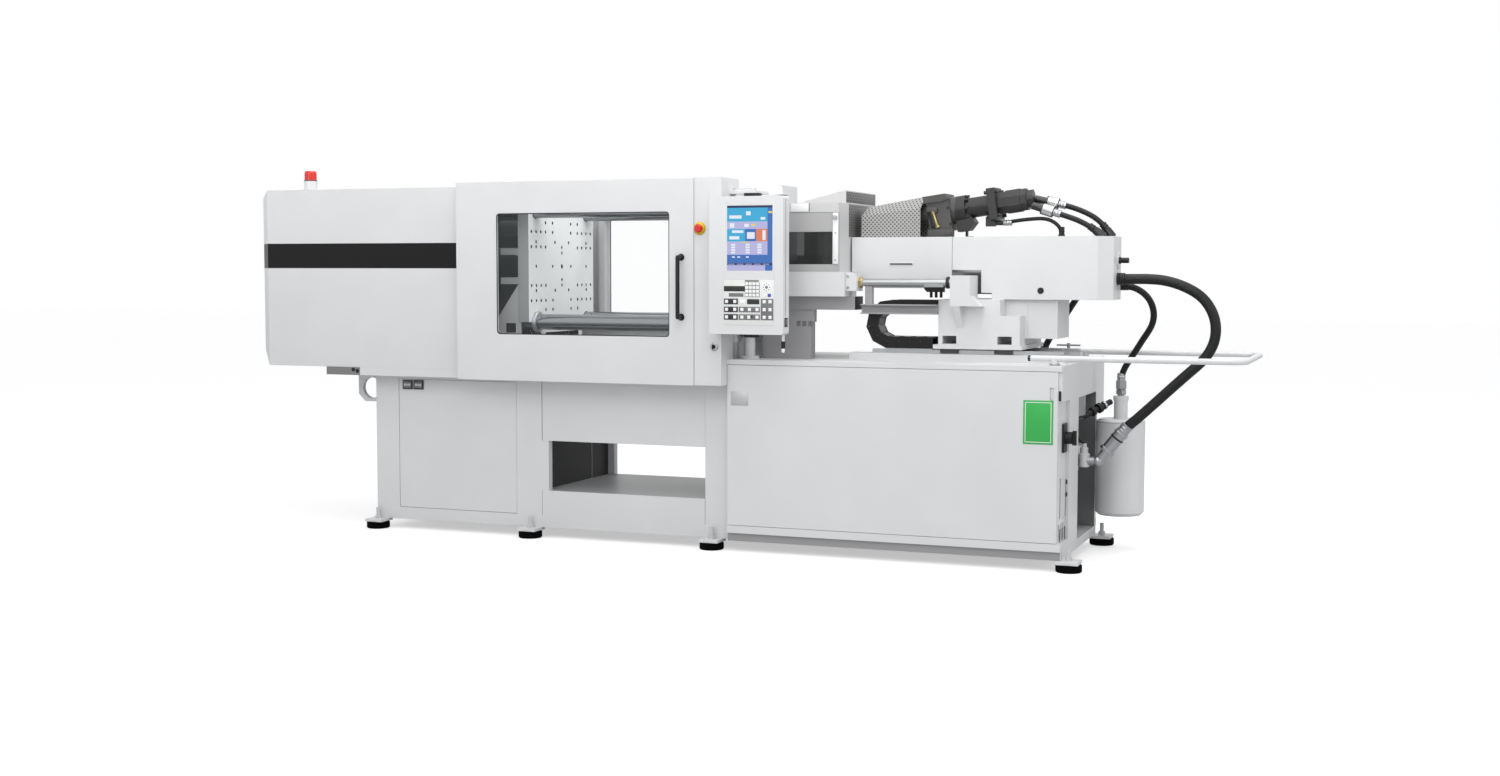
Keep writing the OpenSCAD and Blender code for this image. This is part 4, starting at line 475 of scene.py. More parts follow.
def make_finishes():
    """Every finish of the machine, named for what it is."""
    c = colours()
    coat, band, mid, guard = tuple(c.coat), tuple(c.band), tuple(c.mid_grey), tuple(c.guard_grey)
    cast, motor = tuple(c.cast_grey), tuple(c.motor)
    black, red, inner = linear("161616"), linear("C9251C"), linear("2B2C2C")
    # Powder coat: even and half-glossy, so that edges and large panels show soft gradients
    coated("white powder coat", coat)
    # Painted shade: inside the clamp cover, behind the moving platen, the coat is coloured near black (inner)
    coated("white powder coat, dark band, painted shade inside", coat, shine=0.2, zones=[
        ([("Z", 1368, 1498)], band), ([("X", -2440, -1238), ("Y", -481, 481), ("Z", 800, 1777)], inner)])
    coated("white signal stem, red lens", coat, 0.3, zones=[([("Z", 1834, 1900)], red)])
    # The same coat with places of another colour: some are their own colour, others are painted shade, as
    # noted at each
    for place, zones in {
            "grey lower box": [([("Z", 1100, 1236.5)], mid)],
            "black bush": [([("Z", 1041, 1064)], black)],
            "zinc screws": [([("Z", 50.5, 120)], linear("C0C1C2"))],
            # painted shade: a grey strip along the foot of the bed's skirt; the switch plate's black is its
            # own colour
            "grey skirt": [([("X", 1762.5, 1771.5), ("Y", -372, -292), ("Z", 533, 667)], linear("0B0B0B")),
                           ([("X", 150, 1776.5), ("Z", 40, 89.5)], linear("969697"))],
            # painted shade on the end of the door track under the cover
            "painted shade on track end": [([("X", -2600, -1908), ("Y", -600, -400), ("Z", 700, 860)], linear("787878"))],
            "black glands": [([("X", 1600, 1960), ("Z", 1521.5, 1600)], black)],
            # painted shade on the top of the clamp bed inside the cover
            "painted shade on bed": [([("Y", -385, 385), ("Z", 845, 852)], linear("5E605F"))],
            # painted shade on the top of the product tray
            "painted shade on tray": [([("Y", -385, 385), ("Z", 236, 245)], linear("9C9D9E"))]}.items():
        coated("white powder coat, " + place, coat, zones=zones)
    coated("grey satin paint", mid, 0.5)
    coated("pale grey guard paint", guard, 0.42)
    coated("grey purge panel", linear("A9A9A9"), 0.38)
    coated("green sign plate", tuple(c.sign), 0.35)
    coated("yellow collar", linear("E8C81E"), 0.4)
    # Painted shade, dark and grey: for the insides of bays and louvres and other places where shade falls
    coated("dark painted shade", linear("131514"), 0.6, 0.06)
    coated("grey painted shade", linear("7C7F7E"), 0.6, 0.06)
    # Cast and milled blocks under dark paint: rougher, with small dull patches
    coated("dark block paint", cast, 0.5, 0.08)
    coated("dark block paint, black drive", cast, 0.45, 0.08, zones=[([("X", 1172, 1800)], motor)])
    coated("black motor paint", motor, 0.42, 0.1)
    # Ground, milled and plated steel: tool lines and a gloss that shows the lamps as soft streaks
    # Painted shade: the bores of both platens are near black, and the moving platen's back is dark with
    # lighter grey ribs. Its shoes and a strip of its edge on the operator side are grey.
    hole, core, rib = linear("141414"), [("Y", -366, 366), ("Z", 1014, 1746)], ("X", -1200, -1033)
    machined("milled platen steel, dark bores", linear("F8FBFB"), 0.5, 1.2, 1, metal=0.1,
             zones=[([("X", -8, 164)] + core, hole)])
    machined("milled platen steel, painted shade on back and bores", linear("F8FBFB"), 0.5, 1.2, 1, metal=0.1, zones=[
        ([("X", -2200, -1033)], linear("232424")), ([rib, ("Z", 1436, 1474)], linear("B9BCBB")),
        ([rib, ("Z", 1286, 1324)], linear("B9BCBB")), ([("X", -1030, -974)] + core, hole),
        ([("X", -1033, -971), ("Y", -400, -366)], linear("8F9291")),
        ([("X", -1400, -971), ("Z", 840, 912)], linear("A9ACAB"))])
    machined("turned steel", linear("B4B6B8"), 0.32, 1.0, 0)
    machined("hard chrome", linear("94979A"), 0.09, 0.8, 0)
    machined(ZINC, linear("A4A6A8"), 0.3, 0.8, 2)
    machined("honed cylinder steel", linear("A2A4A5"), 0.3, 0.8, 0,
             zones=[([("Z", 1200, 1283)], linear("2A2A2A"))])
    machined("brass", linear("B5A36A"), 0.3, 0.8, 2)
    machined("brushed aluminium", linear("BEBFBF"), 0.45, 1.0, 0)
    # Plastics and rubber: dull, with a fine grain that breaks the highlights
    moulded(BLACK_PLASTIC, linear("121212"), 0.45, 1.0, shine=0.35)
    moulded("grey key plastic", linear("6E6C6F"), 0.5, 0.8)
    moulded("white key plastic", linear("E9EAEA"), 0.45, 0.8, drift=0.02)
    moulded("dark key plastic", linear("201F21"), 0.5, 0.8)
    moulded("blue key plastic", linear("4A46A8"), 0.45, 0.8)
    moulded("red gloss plastic", red, 0.25, 1.2, 0.05)
    moulded("foot rubber", linear("040404"), 0.9, 1.6, 0.4, 2.0, shine=0.08)
    moulded("hose rubber", linear("121313"), 0.5, 2.4, 0.5, shine=0.3)
    moulded("chain nylon", linear("0F0F0F"), 0.42, 1.2, shine=0.3)
    moulded("grey chain nylon", linear("5A5B5C"), 0.42, 1.2)
    moulded("dark seam", linear("4B4B4C"), 0.8, 2.0)
    moulded("seal rubber", linear("2A2A2A"), 0.7, 1.5)
    moulded("pale key film", linear("DADCD9"), 0.45, 0.8, drift=0.02)
    # Perforated guards: holes drawn wider than the real ones, so that they show; the holes' dark colour is
    # painted shade
    perforated("perforated pale sheet", linear("A2A2A0"), linear("383837"), 10, ("X", "Z"))
    perforated("perforated dark sheet", linear("6E6E6D"), linear("2C2C2C"), 13, ("Y", "Z"))
    # Clear and smoked sheet: a faint mirror of the room over what lies behind
    pane("clear polycarbonate", linear("E8F0F2"), 0.02)
    pane("smoked polycarbonate", linear("252927"), 0.74, 0.06)
    # Display colours: they glow evenly, as a lit screen does
    for name, code in [("blue", "3A6DB8"), ("cyan", "36A9D6"), ("lilac", "B4B4DE"), ("pale", "E4EAF6"),
                       ("navy", "1E2C5A"), ("orange", "DC7E58"), ("yellow", "E6D45A")]:
        lit("display " + name, linear(code))


# Finish of each node; a node that isn't listed has the plain coat
FINISH_NODES = {
    "white powder coat, dark band, painted shade inside": ["clamp_cover"], "white powder coat, grey lower box": ["purge_skirt"],
    "white powder coat, black bush": ["panel_post"], "white signal stem, red lens": ["signal_lamp"],
    "white powder coat, zinc screws": ["levelling_screws"], "white powder coat, painted shade on tray": ["chute_tray"],
    "white powder coat, grey skirt": ["machine_bed"], "white powder coat, painted shade on track end": ["door_tracks"],
    "white powder coat, black glands": ["beam_covers"], "white powder coat, painted shade on bed": ["clamp_bed"],
    "grey satin paint": ["injection_pedestal", "oil_tank", "chain_tray"],
    "pale grey guard paint": ["nozzle_guard"], "grey purge panel": ["purge_door"],
    "dark block paint, black drive": ["plasticizer"], "dark block paint": ["guide_blocks"],
    "black motor paint": ["screw_motor", "clamp_cylinder"],
    "milled platen steel, dark bores": ["fixed_platen"],
    "milled platen steel, painted shade on back and bores": ["moving_platen"],
    "turned steel": ["slide_rails", "injection_barrel"], ZINC: ["hose_fittings", "t_handle"],
    "hard chrome": ["tie_bars"], "honed cylinder steel": ["carriage_barrel"],
    "clear polycarbonate": ["operator_window", "rear_window"], "smoked polycarbonate": ["purge_window"],
    "display blue": ["panel_screen"], "white key plastic": ["panel_keypad"],
    BLACK_PLASTIC: ["key_switch", "operator_handle", "shot_counters", "main_switch_knob"],
    "chain nylon": ["drag_chain"], "red gloss plastic": ["e_stop_button"], "foot rubber": ["foot_pads"],
    "perforated pale sheet": ["barrel_guard"],
}
NODE_FINISH = {node: finish for finish, nodes in FINISH_NODES.items() for node in nodes}


class MACHINE_OT_finishes(bpy.types.Operator):
    """Makes the finishes and puts them on the machine's nodes"""
    bl_idname = "machine.finishes"
    bl_label = "Finishes"

    def execute(self, context):
        make_finishes()
        for name, node in NODES.items():
            node.data.materials.clear()
            node.data.materials.append(FINISH[NODE_FINISH.get(name, "white powder coat")])
        return {"FINISHED"}


class MACHINE_OT_stage(bpy.types.Operator):
    """Floor, even light, lamps and the camera at the photograph's angle"""
    bl_idname = "machine.stage"
    bl_label = "Stage"

    def execute(self, context):
        scene = context.scene
        scene.view_settings.view_transform = "Standard"
        self.camera(scene)
        self.world(scene)
        self.floor(scene)
        self.lamps(scene)
        return {"FINISHED"}

    def camera(self, scene):
        # turns in radians and lens, solved from straight edges in the photograph; the place in metres
        # is scaled by the height of the control panel's screen
        yaw, pitch, roll = 0.371646, 0.0677387, 0.00163787
        ahead = Vector((-math.sin(yaw) * math.cos(pitch), math.cos(yaw) * math.cos(pitch), -math.sin(pitch)))
        right = Vector((math.cos(yaw), math.sin(yaw), 0))
        up = right.cross(ahead)
        level = right
        right = level * math.cos(roll) + up * math.sin(roll)
        up = up * math.cos(roll) - level * math.sin(roll)
        lens = bpy.data.cameras.new("camera")
        lens.lens, lens.sensor_width, lens.sensor_fit = 41.58, 36.0, "HORIZONTAL"
        lens.clip_end = 100
        camera = bpy.data.objects.new("camera", lens)
        camera.matrix_world = Matrix((right, up, -ahead)).transposed().to_4x4()
        camera.location = (3.290, -8.195, 1.360)
        scene.collection.objects.link(camera)
        scene.camera = camera

    def world(self, scene):
        world = bpy.data.worlds.new("studio")
        world.use_nodes = True
        tree = world.node_tree
        tree.nodes.clear()
        path = add_node(tree, "ShaderNodeLightPath").outputs
        seen = worked_out(tree, "MAXIMUM", path["Is Camera Ray"], path["Is Transmission Ray"])
        seen = worked_out(tree, "MAXIMUM", seen, path["Is Glossy Ray"])
        even = add_node(tree, "ShaderNodeBackground", {"Color": linear("FBFBFC"), "Strength": light().sky})
        white = add_node(tree, "ShaderNodeBackground", {"Color": linear("FFFFFF"), "Strength": 1.0})
        mix = add_node(tree, "ShaderNodeMixShader", {0: seen, 1: even.outputs[0], 2: white.outputs[0]})
        add_node(tree, "ShaderNodeOutputWorld", {"Surface": mix.outputs[0]})
        scene.world = world

    def floor(self, scene):
        tree, shader, place = new_finish("pale studio floor")
        # a lift seen by the camera alone carries the open floor to white and keeps the shadow
        camera_ray = add_node(tree, "ShaderNodeLightPath").outputs["Is Camera Ray"]
        lift = worked_out(tree, "MULTIPLY", camera_ray, 0.5)
        give(tree, shader, {
            "Base Color": tone(tree, linear("CBCBCC"), grain(tree, place, 900, 3.0), 0.005), "Roughness": 0.6,
            "Emission Color": linear("FFFFFF"), "Emission Strength": lift})
        data = bpy.data.meshes.new("floor")
        reach = 40
        data.from_pydata([(-reach, -reach, 0), (reach, -reach, 0), (reach, reach, 0), (-reach, reach, 0)],
                         [], [(0, 1, 2, 3)])
        data.materials.append(FINISH["pale studio floor"])
        floor = bpy.data.objects.new("floor", data)
        # a hair under the feet, so that no faces share a plane
        floor.location.z = -0.0005
        scene.collection.objects.link(floor)

    def lamps(self, scene):
        # name, place, aim, width, height, power share, spread of the beam in degrees
        plan = [("key_lamp", (0.8, -6.5, 5.6), (0.2, 0, 1.2), 8.0, 4.0, 1.3, 180),
                ("upper_lamp", (0.0, -7.5, 2.6), (0, 0, 2.3), 8.0, 0.6, 0.07, 28),
                ("top_lamp", (1.5, -0.8, 5.4), (-0.6, 0, 1.2), 5.0, 3.0, 1.2, 180),
                ("left_lamp", (-7.0, -2.5, 3.0), (-1.0, 0, 1.0), 3.0, 3.0, 0.2, 180),
                ("right_lamp", (7.0, -1.5, 3.0), (1.5, 0, 0.8), 3.0, 3.0, 0.35, 180)]
        for name, place, aim, width, height, share, spread in plan:
            lamp = bpy.data.lights.new(name, "AREA")
            lamp.shape, lamp.size, lamp.size_y = "RECTANGLE", width, height
            lamp.energy = light().key * share
            lamp.spread = math.radians(spread)
            made = bpy.data.objects.new(name, lamp)
            made.location = place
            made.rotation_euler = (Vector(aim) - Vector(place)).to_track_quat("-Z", "Y").to_euler()
            scene.collection.objects.link(made)


class MACHINE_OT_hoses(bpy.types.Operator):
    """The six hoses with their crimped ends"""
    bl_idname = "machine.hoses"
    bl_label = "Hoses"

    def execute(self, context):
        ends = {"machine": Shape(), "carriage": Shape()}
        body = "carriage"
        for name, route, diameter, first, last, bends, metals in HOSES:
            line = smooth_route(route, first, last)
            shape = Shape()
            shape.tube(line, diameter / 2, "hose rubber")
            hose = shape.piece(name + "_skin", body, "hose_rubber", (line[-1], line[0]) if bends else None)
            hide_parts(name)
            r = diameter / 2
            for tip, head, holder, metal in (
                    (route[0], first, body, metals[0]),
                    (route[-1], [-v for v in last], "machine" if bends else body, metals[1])):
                ends[holder].turned(tip, head, [(along, r + proud) for along, proud in FERRULE], metal)
        for holder, shape in ends.items():
            shape.piece("hose_ferrules_" + holder, holder, "bright_steel")
        return {"FINISHED"}


def rounded(x0, x1, z0, z1, r, steps=5):
    """Outline of a rectangle with round corners."""
    line = []
    left, right, low, high = x0 + r, x1 - r, z0 + r, z1 - r
    for cx, cz, start in ((right, low, -90), (right, high, 0), (left, high, 90), (left, low, 180)):
        for k in range(steps + 1):
            a = math.radians(start + 90 * k / steps)
            line.append((cx + r * math.cos(a), cz + r * math.sin(a)))
    return line


class MACHINE_OT_base_trim(bpy.types.Operator):
    """Plates, counters, gauge, linings and louvres of the base"""
    bl_idname = "machine.base_trim"
    bl_label = "Base trim"

    def execute(self, context):
        s = Shape()
        face = CABINET_FACE
        # plain sign plate with a raised frame, a dark strip, and a small bare plate with four screws
        s.block((1604, face - 2, 578), (1740, face, 777), "green sign plate", 0.6)
        for x0, x1, z0, z1 in ((1612, 1732, 586, 589), (1612, 1732, 766, 769), (1612, 1615, 589, 766),
                               (1729, 1732, 589, 766)):
            s.block((x0, face - 3, z0), (x1, face - 2, z1), "white key plastic", 0.3)
        s.block((1764, face - 2, 776), (1775, face, 821), BLACK_PLASTIC, 0.6)
        s.block((177, face - 1.5, 711), (266, face, 778), "brushed aluminium", 0.5)
        for x in (183, 260):
            for z in (717, 772):
                s.screw((x, face - 1.5, z), OPERATOR_WAY, 2.5, ZINC)
        # counter windows with their number wheels
        for x0 in (-1702, -1636):
            s.block((x0 + 5, COUNTER_FACE - 1.2, 743), (x0 + 53, COUNTER_FACE, 778), "grey key plastic", 0.4)
            for k in range(5):
                left, window = x0 + 10 + k * 8, COUNTER_FACE - 1
                s.block((left, window - 1, 755), (left + 4, window, 766), "white key plastic", 0.3)
        # grey lining of painted shade in the end bay: back, both sides and roof
        (x0, y0, z0), (x1, y1, z1) = END_BAY_LOW, END_BAY_HIGH
        for low, high in (((x0, y0, z0), (x0 + 1, y1, z1)), ((x0, y0, z0), (x1, y0 + 1, z1)),
                          ((x0, y1 - 1, z0), (x1, y1, z1)), ((x0, y0, z1 - 1), (x1, y1, z1))):
            s.block(low, high, "grey painted shade")
        # painted shade: dark wall of the product bay with a grey upright, and the dark backs of the louvres
        s.block((-884, -362, 241), (-883, 160, 494), "dark painted shade")
        s.block((-884, 166, 241), (-883, 362, 494), "dark painted shade")
        s.block((-884, 160, 241), (-882, 166, 494), "grey satin paint")
        for y in (-430, -380, -330):
            s.block((1750, y, 135), (1751, y + 26, 209), "dark painted shade")
        # level gauge: bar with two black knobs, and a slot beside it drawn as a dark strip of painted shade
        s.block((1774, -338, 240), (1777, -322, 415), ZINC, 0.8)
        for z in (398, 340):
            s.turned((1777, -330, z), X_WAY, [(0, 11), (3, 11), (5, 9), (5, 0)], BLACK_PLASTIC, 18)
        s.block((STRIP_X, -398, 235), (STRIP_X + 1, -388, 420), "dark seam", 0.2)
        # three slots under the gauge, drawn as black blocks of painted shade
        for y in (-396, -341, -287):
            s.block((STRIP_X, y, 125), (STRIP_X + 2, y + 12, 187), BLACK_PLASTIC, 0.6)
        # frame of the main switch round its knob
        for y0, y1, z0, z1 in ((-372, -362, 533, 667), (-302, -292, 533, 667), (-362, -302, 533, 569),
                               (-362, -302, 631, 667)):
            s.block((1769, y0, z0), (1773, y1, z1), BLACK_PLASTIC, 0.6)
        s.piece("base_trim", "machine", "grey_paint")
        return {"FINISHED"}


class MACHINE_OT_clamp_trim(bpy.types.Operator):
    """Track plugs, lamp seat, tie bar nuts, and the moving platen's bush, gusset and screws"""
    bl_idname = "machine.clamp_trim"
    bl_label = "Clamp trim"

    def execute(self, context):
        s = Shape()
        # two plugs flush with the track, behind the door's path
        for x, z in ((-1949, 838), (-1925, 831)):
            s.turned((x, -488.65, z), OPERATOR_WAY, [(0, 11), (0.15, 11), (0.2, 10.5), (0.2, 0)],
                     BLACK_PLASTIC, 24)
        # seam of the lamp's lens and its seat
        s.turned((-2275, -380, 1780), Z_WAY, [(0, 44), (5, 44), (7, 40), (7, 35.2)], "white powder coat", 36)
        s.turned((-2275, -380, 1831), Z_WAY, [(0, 35.4), (4, 35.4), (5, 33)], "dark seam", 36)
        # faces of the tie bar nuts behind the fixed platen and the ring round its nozzle hole
        for y in TIE_BAR_YS:
            for z in TIE_BAR_ZS:
                s.turned((183, y, z), X_WAY, [(0, 52), (6, 50), (6, 30), (2, 28), (2, 0)], "turned steel", 36)
        s.turned((-10, 0, 1380), -X_WAY, [(0, 98), (3, 98), (4, 97), (4, 76), (0, 76), (0, 98)],
                 "turned steel", 48)
        s.piece("clamp_trim", "machine", "bright_steel")
        m = Shape()
        # gusset behind the plate, with a slot drawn as a black block of painted shade, and the bush round the
        # lower tie bar
        m.outline([(-1033, 912), (-1033, 1292), (-1050, 1283), (-1162, 1122), (-1196, 1046), (-1196, 912)],
                  (0, -328, 0), X_WAY, Z_WAY, 12, "pale grey guard paint")
        m.block((-1118, -341, 1040), (-1062, -340, 1088), BLACK_PLASTIC, 0.3)
        m.turned((-972, TIE_BAR_YS[0], TIE_BAR_ZS[0]), X_WAY, [
            (0, 41), (0, 54), (16, 54), (20, 50), (20, 41), (0, 41)], "brushed aluminium", 40)
        # screws in the shoes
        for x in (-1100, -1230):
            for y in (-247, 247):
                m.screw((x, y, 910), Z_WAY, 9, ZINC)
        m.piece("platen_trim", "moving_platen", "bright_steel")
        return {"FINISHED"}


class MACHINE_OT_door_trim(bpy.types.Operator):
    """Window seals and handle seats of both doors"""
    bl_idname = "machine.door_trim"
    bl_label = "Door trim"

    def execute(self, context):
        for body, side, left, low in (("operator_door", -1, -1064, 1038), ("rear_door", 1, -947, 1115)):
            s = Shape()
            seal, right, high = sizes().seal / MM, -115, 1643
            depth = 1.5
            back = -532 if side < 0 else 532 - depth
            outer = rounded(left, right, low, high, 18)
            inner = rounded(left + seal, right - seal, low + seal, high - seal, 14)
            for a, b, c, d in zip(outer, outer[1:] + outer[:1], inner[1:] + inner[:1], inner):
                s.outline([a, b, c, d], (0, back, 0), X_WAY, Z_WAY, -depth, "seal rubber")
            for z in (1135, 1423):
                s.turned((-52, -side * DOOR_FACE, z), Y_WAY * side, [(0, 17), (3, 17), (5, 14), (5, 10.2)],
                         BLACK_PLASTIC, 24)
            s.piece(body + "_trim", body, "black_plastic")
        return {"FINISHED"}


class MACHINE_OT_column_trim(bpy.types.Operator):
    """Collar of the emergency stop and bezel of the key switch"""
    bl_idname = "machine.column_trim"
    bl_label = "Column trim"

    def execute(self, context):
        s = Shape()
        s.turned((45, DOOR_FACE, 1560), OPERATOR_WAY, [
            (0, 30.1), (0, 31), (5.4, 30.4), (6.3, 29), (6.3, 13), (6.05, 13), (6.05, 30.1), (0, 30.1)],
            "yellow collar", 40)
        s.turned((120, DOOR_FACE, 995), OPERATOR_WAY, [
            (0, 21), (3, 20.5), (4, 19), (4, 15.2), (0, 15.2), (0, 21)], ZINC, 32)
        s.piece("column_trim", "machine", "bright_steel")
        return {"FINISHED"}


class MACHINE_OT_panel(bpy.types.Operator):
    """Display, key field, hinge caps, port and stylus of the control panel"""
    bl_idname = "machine.panel"
    bl_label = "Control panel"

    def execute(self, context):
        self.display()
        self.keys()
        self.trim()
        return {"FINISHED"}

    def display(self):
        s = Shape()
        glass = PANEL_FACE + 1
        # areas of the display: left, right, low, high as shares of its face, colour
        areas = [(0, 1, 0.965, 1, "navy"), (0, 0.89, 0.755, 0.965, "cyan"), (0, 0.89, 0.64, 0.755, "lilac"),
                 (0, 0.40, 0.45, 0.64, "cyan"), (0.40, 0.64, 0.45, 0.64, "blue"),
                 (0.64, 0.89, 0.45, 0.64, "orange"), (0, 0.89, 0.245, 0.45, "lilac"),
                 (0, 1, 0.115, 0.245, "blue"), (0, 1, 0.085, 0.115, "navy"), (0, 0.84, 0, 0.085, "lilac"),
                 (0.84, 1, 0, 0.085, "blue"), (0.89, 1, 0.245, 0.965, "blue")]
        # fields that lie on the areas
        fields = [(0.05, 0.32, 0.80, 0.85, "pale"), (0.42, 0.52, 0.85, 0.91, "pale"),
                  (0.74, 0.84, 0.78, 0.82, "pale"), (0.06, 0.16, 0.66, 0.73, "pale"),
                  (0.38, 0.48, 0.67, 0.72, "pale"), (0.54, 0.62, 0.685, 0.715, "yellow"),
                  (0.11, 0.36, 0.58, 0.62, "pale"), (0.05, 0.27, 0.48, 0.53, "pale"),
                  (0.44, 0.61, 0.49, 0.59, "pale"), (0.78, 0.85, 0.47, 0.62, "pale"),
                  (0.30, 0.50, 0.432, 0.442, "yellow"), (0.91, 0.99, 0.88, 0.91, "yellow")]
        fields += [(x, x + 0.09, z, z + 0.028, "pale") for x in (0.09, 0.41, 0.67)
                   for z in (0.265, 0.305, 0.345, 0.385)]
        fields += [(x, x + 0.06, 0.20, 0.22, "pale") for x in (0.11, 0.23, 0.42)]
        fields += [(0.03 + k * 0.19, 0.17 + k * 0.19, 0.095, 0.105, "lilac") for k in range(5)]
        for depth, group in ((0.3, areas), (0.6, fields)):
            for left, right, low, high, colour in group:
                x0, x1 = SCREEN_LEFT_X + SCREEN_W * left, SCREEN_LEFT_X + SCREEN_W * right
                z0, z1 = SCREEN_LOW_Z + SCREEN_H * low, SCREEN_LOW_Z + SCREEN_H * high
                s.block((x0, glass - depth, z0), (x1, glass, z1), "display " + colour)
        s.piece("display_image", "control_panel", "screen_glass")

    def keys(self):
        s = Shape()
        face, cap = PANEL_FACE, sizes().key_cap / MM
        s.block((207, face - 1.2, 1104), (457, face, 1317), "pale key film", 0.4)
        # backgrounds of the key groups: left, right, low, high, finish
        for x0, x1, z0, z1, finish in (
                (207, 278, 1201, 1228, "dark key plastic"), (207, 278, 1164, 1190, "dark key plastic"),
                (207, 278, 1128, 1155, "dark key plastic"), (324, 386, 1202, 1226, "dark key plastic"),
                (282, 389, 1164, 1190, "grey key plastic"), (282, 389, 1128, 1155, "grey key plastic"),
                (393, 456, 1128, 1228, "grey key plastic"), (207, 313, 1262, 1287, "dark key plastic"),
                (232, 306, 1237, 1254, "grey key plastic"), (313, 384, 1308, 1315, "grey key plastic"),
                (313, 387, 1236, 1306, "grey key plastic")):
            s.block((x0, face - 2, z0), (x1, face - 1.2, z1), finish, 0.3)
        # key caps: left, low, width, height
        caps = [(x, z, cap, cap) for x in (213, 255, 403, 432) for z in (1207, 1170, 1134)]
        caps += [(x, 1170, cap, cap) for x in (291, 329, 367)]
        caps += [(x, 1134, cap, cap) for x in (291, 326, 367)]
        caps += [(288, 1205, 26, 17)]
        caps += [(315 + 18 * i, 1238 + 17.5 * j, cap, 14) for i in range(4) for j in range(4)]
        dark_caps = [(211 + 20.5 * i, 1266, 16, 17) for i in range(5)]
        for group, finish in ((caps, "white key plastic"), (dark_caps, "dark key plastic")):
            for x, z, w, h in group:
                s.block((x, face - 3.8, z), (x + w, face - 1.2, z + h), finish, 0.8)
        s.block((428, face - 3.6, 1237), (444, face - 1.2, 1252), "blue key plastic", 0.8)
        s.block((409, face - 3.4, 1238), (421, face - 1.2, 1250), "white key plastic", 0.8)
        for x, z in ((241, 1214), (241, 1177), (241, 1141), (348, 1144)):
            s.turned((x, face - 2, z), OPERATOR_WAY, [(0, 6), (1.4, 6), (1.8, 5), (1.8, 0)],
                     "dark key plastic", 18)
        # round cursor key with its eight marks
        s.turned((422, face - 1.2, 1282), OPERATOR_WAY, [(0, 23), (1.2, 23), (2, 21), (1.4, 12), (1.4, 0)],
                 "white key plastic", 36)
        for k in range(8):
            a = math.tau * k / 8
            s.turned((422 + 17 * math.cos(a), face - 2.4, 1282 + 17 * math.sin(a)), OPERATOR_WAY,
                     [(0, 3), (0.6, 3), (0.6, 0)], "dark key plastic", 10)
        s.turned((422, face - 2.4, 1282), OPERATOR_WAY, [(0, 7), (1, 7), (1.3, 6), (1.3, 0)],
                 "grey key plastic", 20)
        made = s.piece("key_field", "control_panel", "key_plastic")
        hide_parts("panel_keypad")

    def trim(self):
        s = Shape()
        for x0, x1, z0, z1 in ((207, 457, 1672, 1675), (207, 457, 1319, 1322), (207, 210, 1322, 1672),
                               (454, 457, 1322, 1672)):
            s.block((x0, PANEL_FACE - 1, z0), (x1, PANEL_FACE, z1), "pale key film", 0.3)
        s.block((299, -606, 1707), (374, -562, 1722), BLACK_PLASTIC, 3)
        s.block((301, -606, 1045), (364, -562, 1060), BLACK_PLASTIC, 3)
        # port on the right side, and the stylus grip
        x = PANEL_RIGHT_X
        s.block((x, -603, 1097), (x + 2, -563, 1139), BLACK_PLASTIC, 0.6)
        s.block((x + 2, -597, 1103), (x + 3.5, -569, 1133), "grey key plastic", 0.5)
        s.turned((490, -584, 995), Z_WAY, [(0, 8), (2, 10), (32, 10), (34, 8)], BLACK_PLASTIC, 20)
        s.turned((490, -584, 976), Z_WAY, [(0, 5), (4, 8), (19, 8)], "white key plastic", 20)
        # shut line between the front frame and the back shell
        s.block((PANEL_LEFT_X - 0.6, -592, 1075), (PANEL_LEFT_X + 0.2, -589, 1692), "dark seam")
        s.block((PANEL_RIGHT_X - 0.2, -592, 1145), (PANEL_RIGHT_X + 0.6, -589, 1692), "dark seam")
        s.piece("panel_trim", "control_panel", "black_plastic")


class MACHINE_OT_guard_trim(bpy.types.Operator):
    """Perforated ends, latch strip and plates of the nozzle guard"""
    bl_idname = "machine.guard_trim"
    bl_label = "Guard trim"

    def execute(self, context):
        s = Shape()
        s.block((682, -192, 1523), (683.5, 192, 1680), "perforated dark sheet", 0.3)
        s.block((682, -232, 1688), (683.5, 232, 1740), "perforated dark sheet", 0.3)
        # painted shade: a dark plate on the end face of the lower box
        s.block((745, -283, 1174), (746.5, -162, 1235), "dark painted shade", 0.3)
        s.block((440, GUARD_FACE - 2, 1641), (531, GUARD_FACE, 1680), "white key plastic", 0.5)
        s.block((531, GUARD_FACE - 2.5, 1640), (534, GUARD_FACE, 1682), "dark seam", 0.3)
        for z in (1280, 1333):
            s.screw((724, -330, z), OPERATOR_WAY, 6, ZINC)
        # three small grey patches of painted shade
        for k in range(3):
            s.block((445 + 30 * k, -268, 1090), (465 + 30 * k, -267, 1116), "grey painted shade")
        # brass lock nut of the piston rod at its anchor
        s.nut((767, CYLINDER_Y, CYLINDER_Z), X_WAY, 46, 15, "brass")
        s.piece("guard_trim", "machine", "grey_paint")
        d = Shape()
        strip = GUARD_FACE - 4
        d.block((653, strip, 1392), (680, strip + 1.7, 1634), "white key plastic", 0.6)
        d.turned((667, strip, 1612), OPERATOR_WAY, [(0, 7), (4, 6), (6, 11), (14, 11), (16, 9), (16, 0)],
                 ZINC, 24)
        for z in (1410, 1540):
            d.screw((667, strip, z), OPERATOR_WAY, 4, ZINC)
        d.piece("purge_latch", "purge_door", "bright_steel")
        return {"FINISHED"}


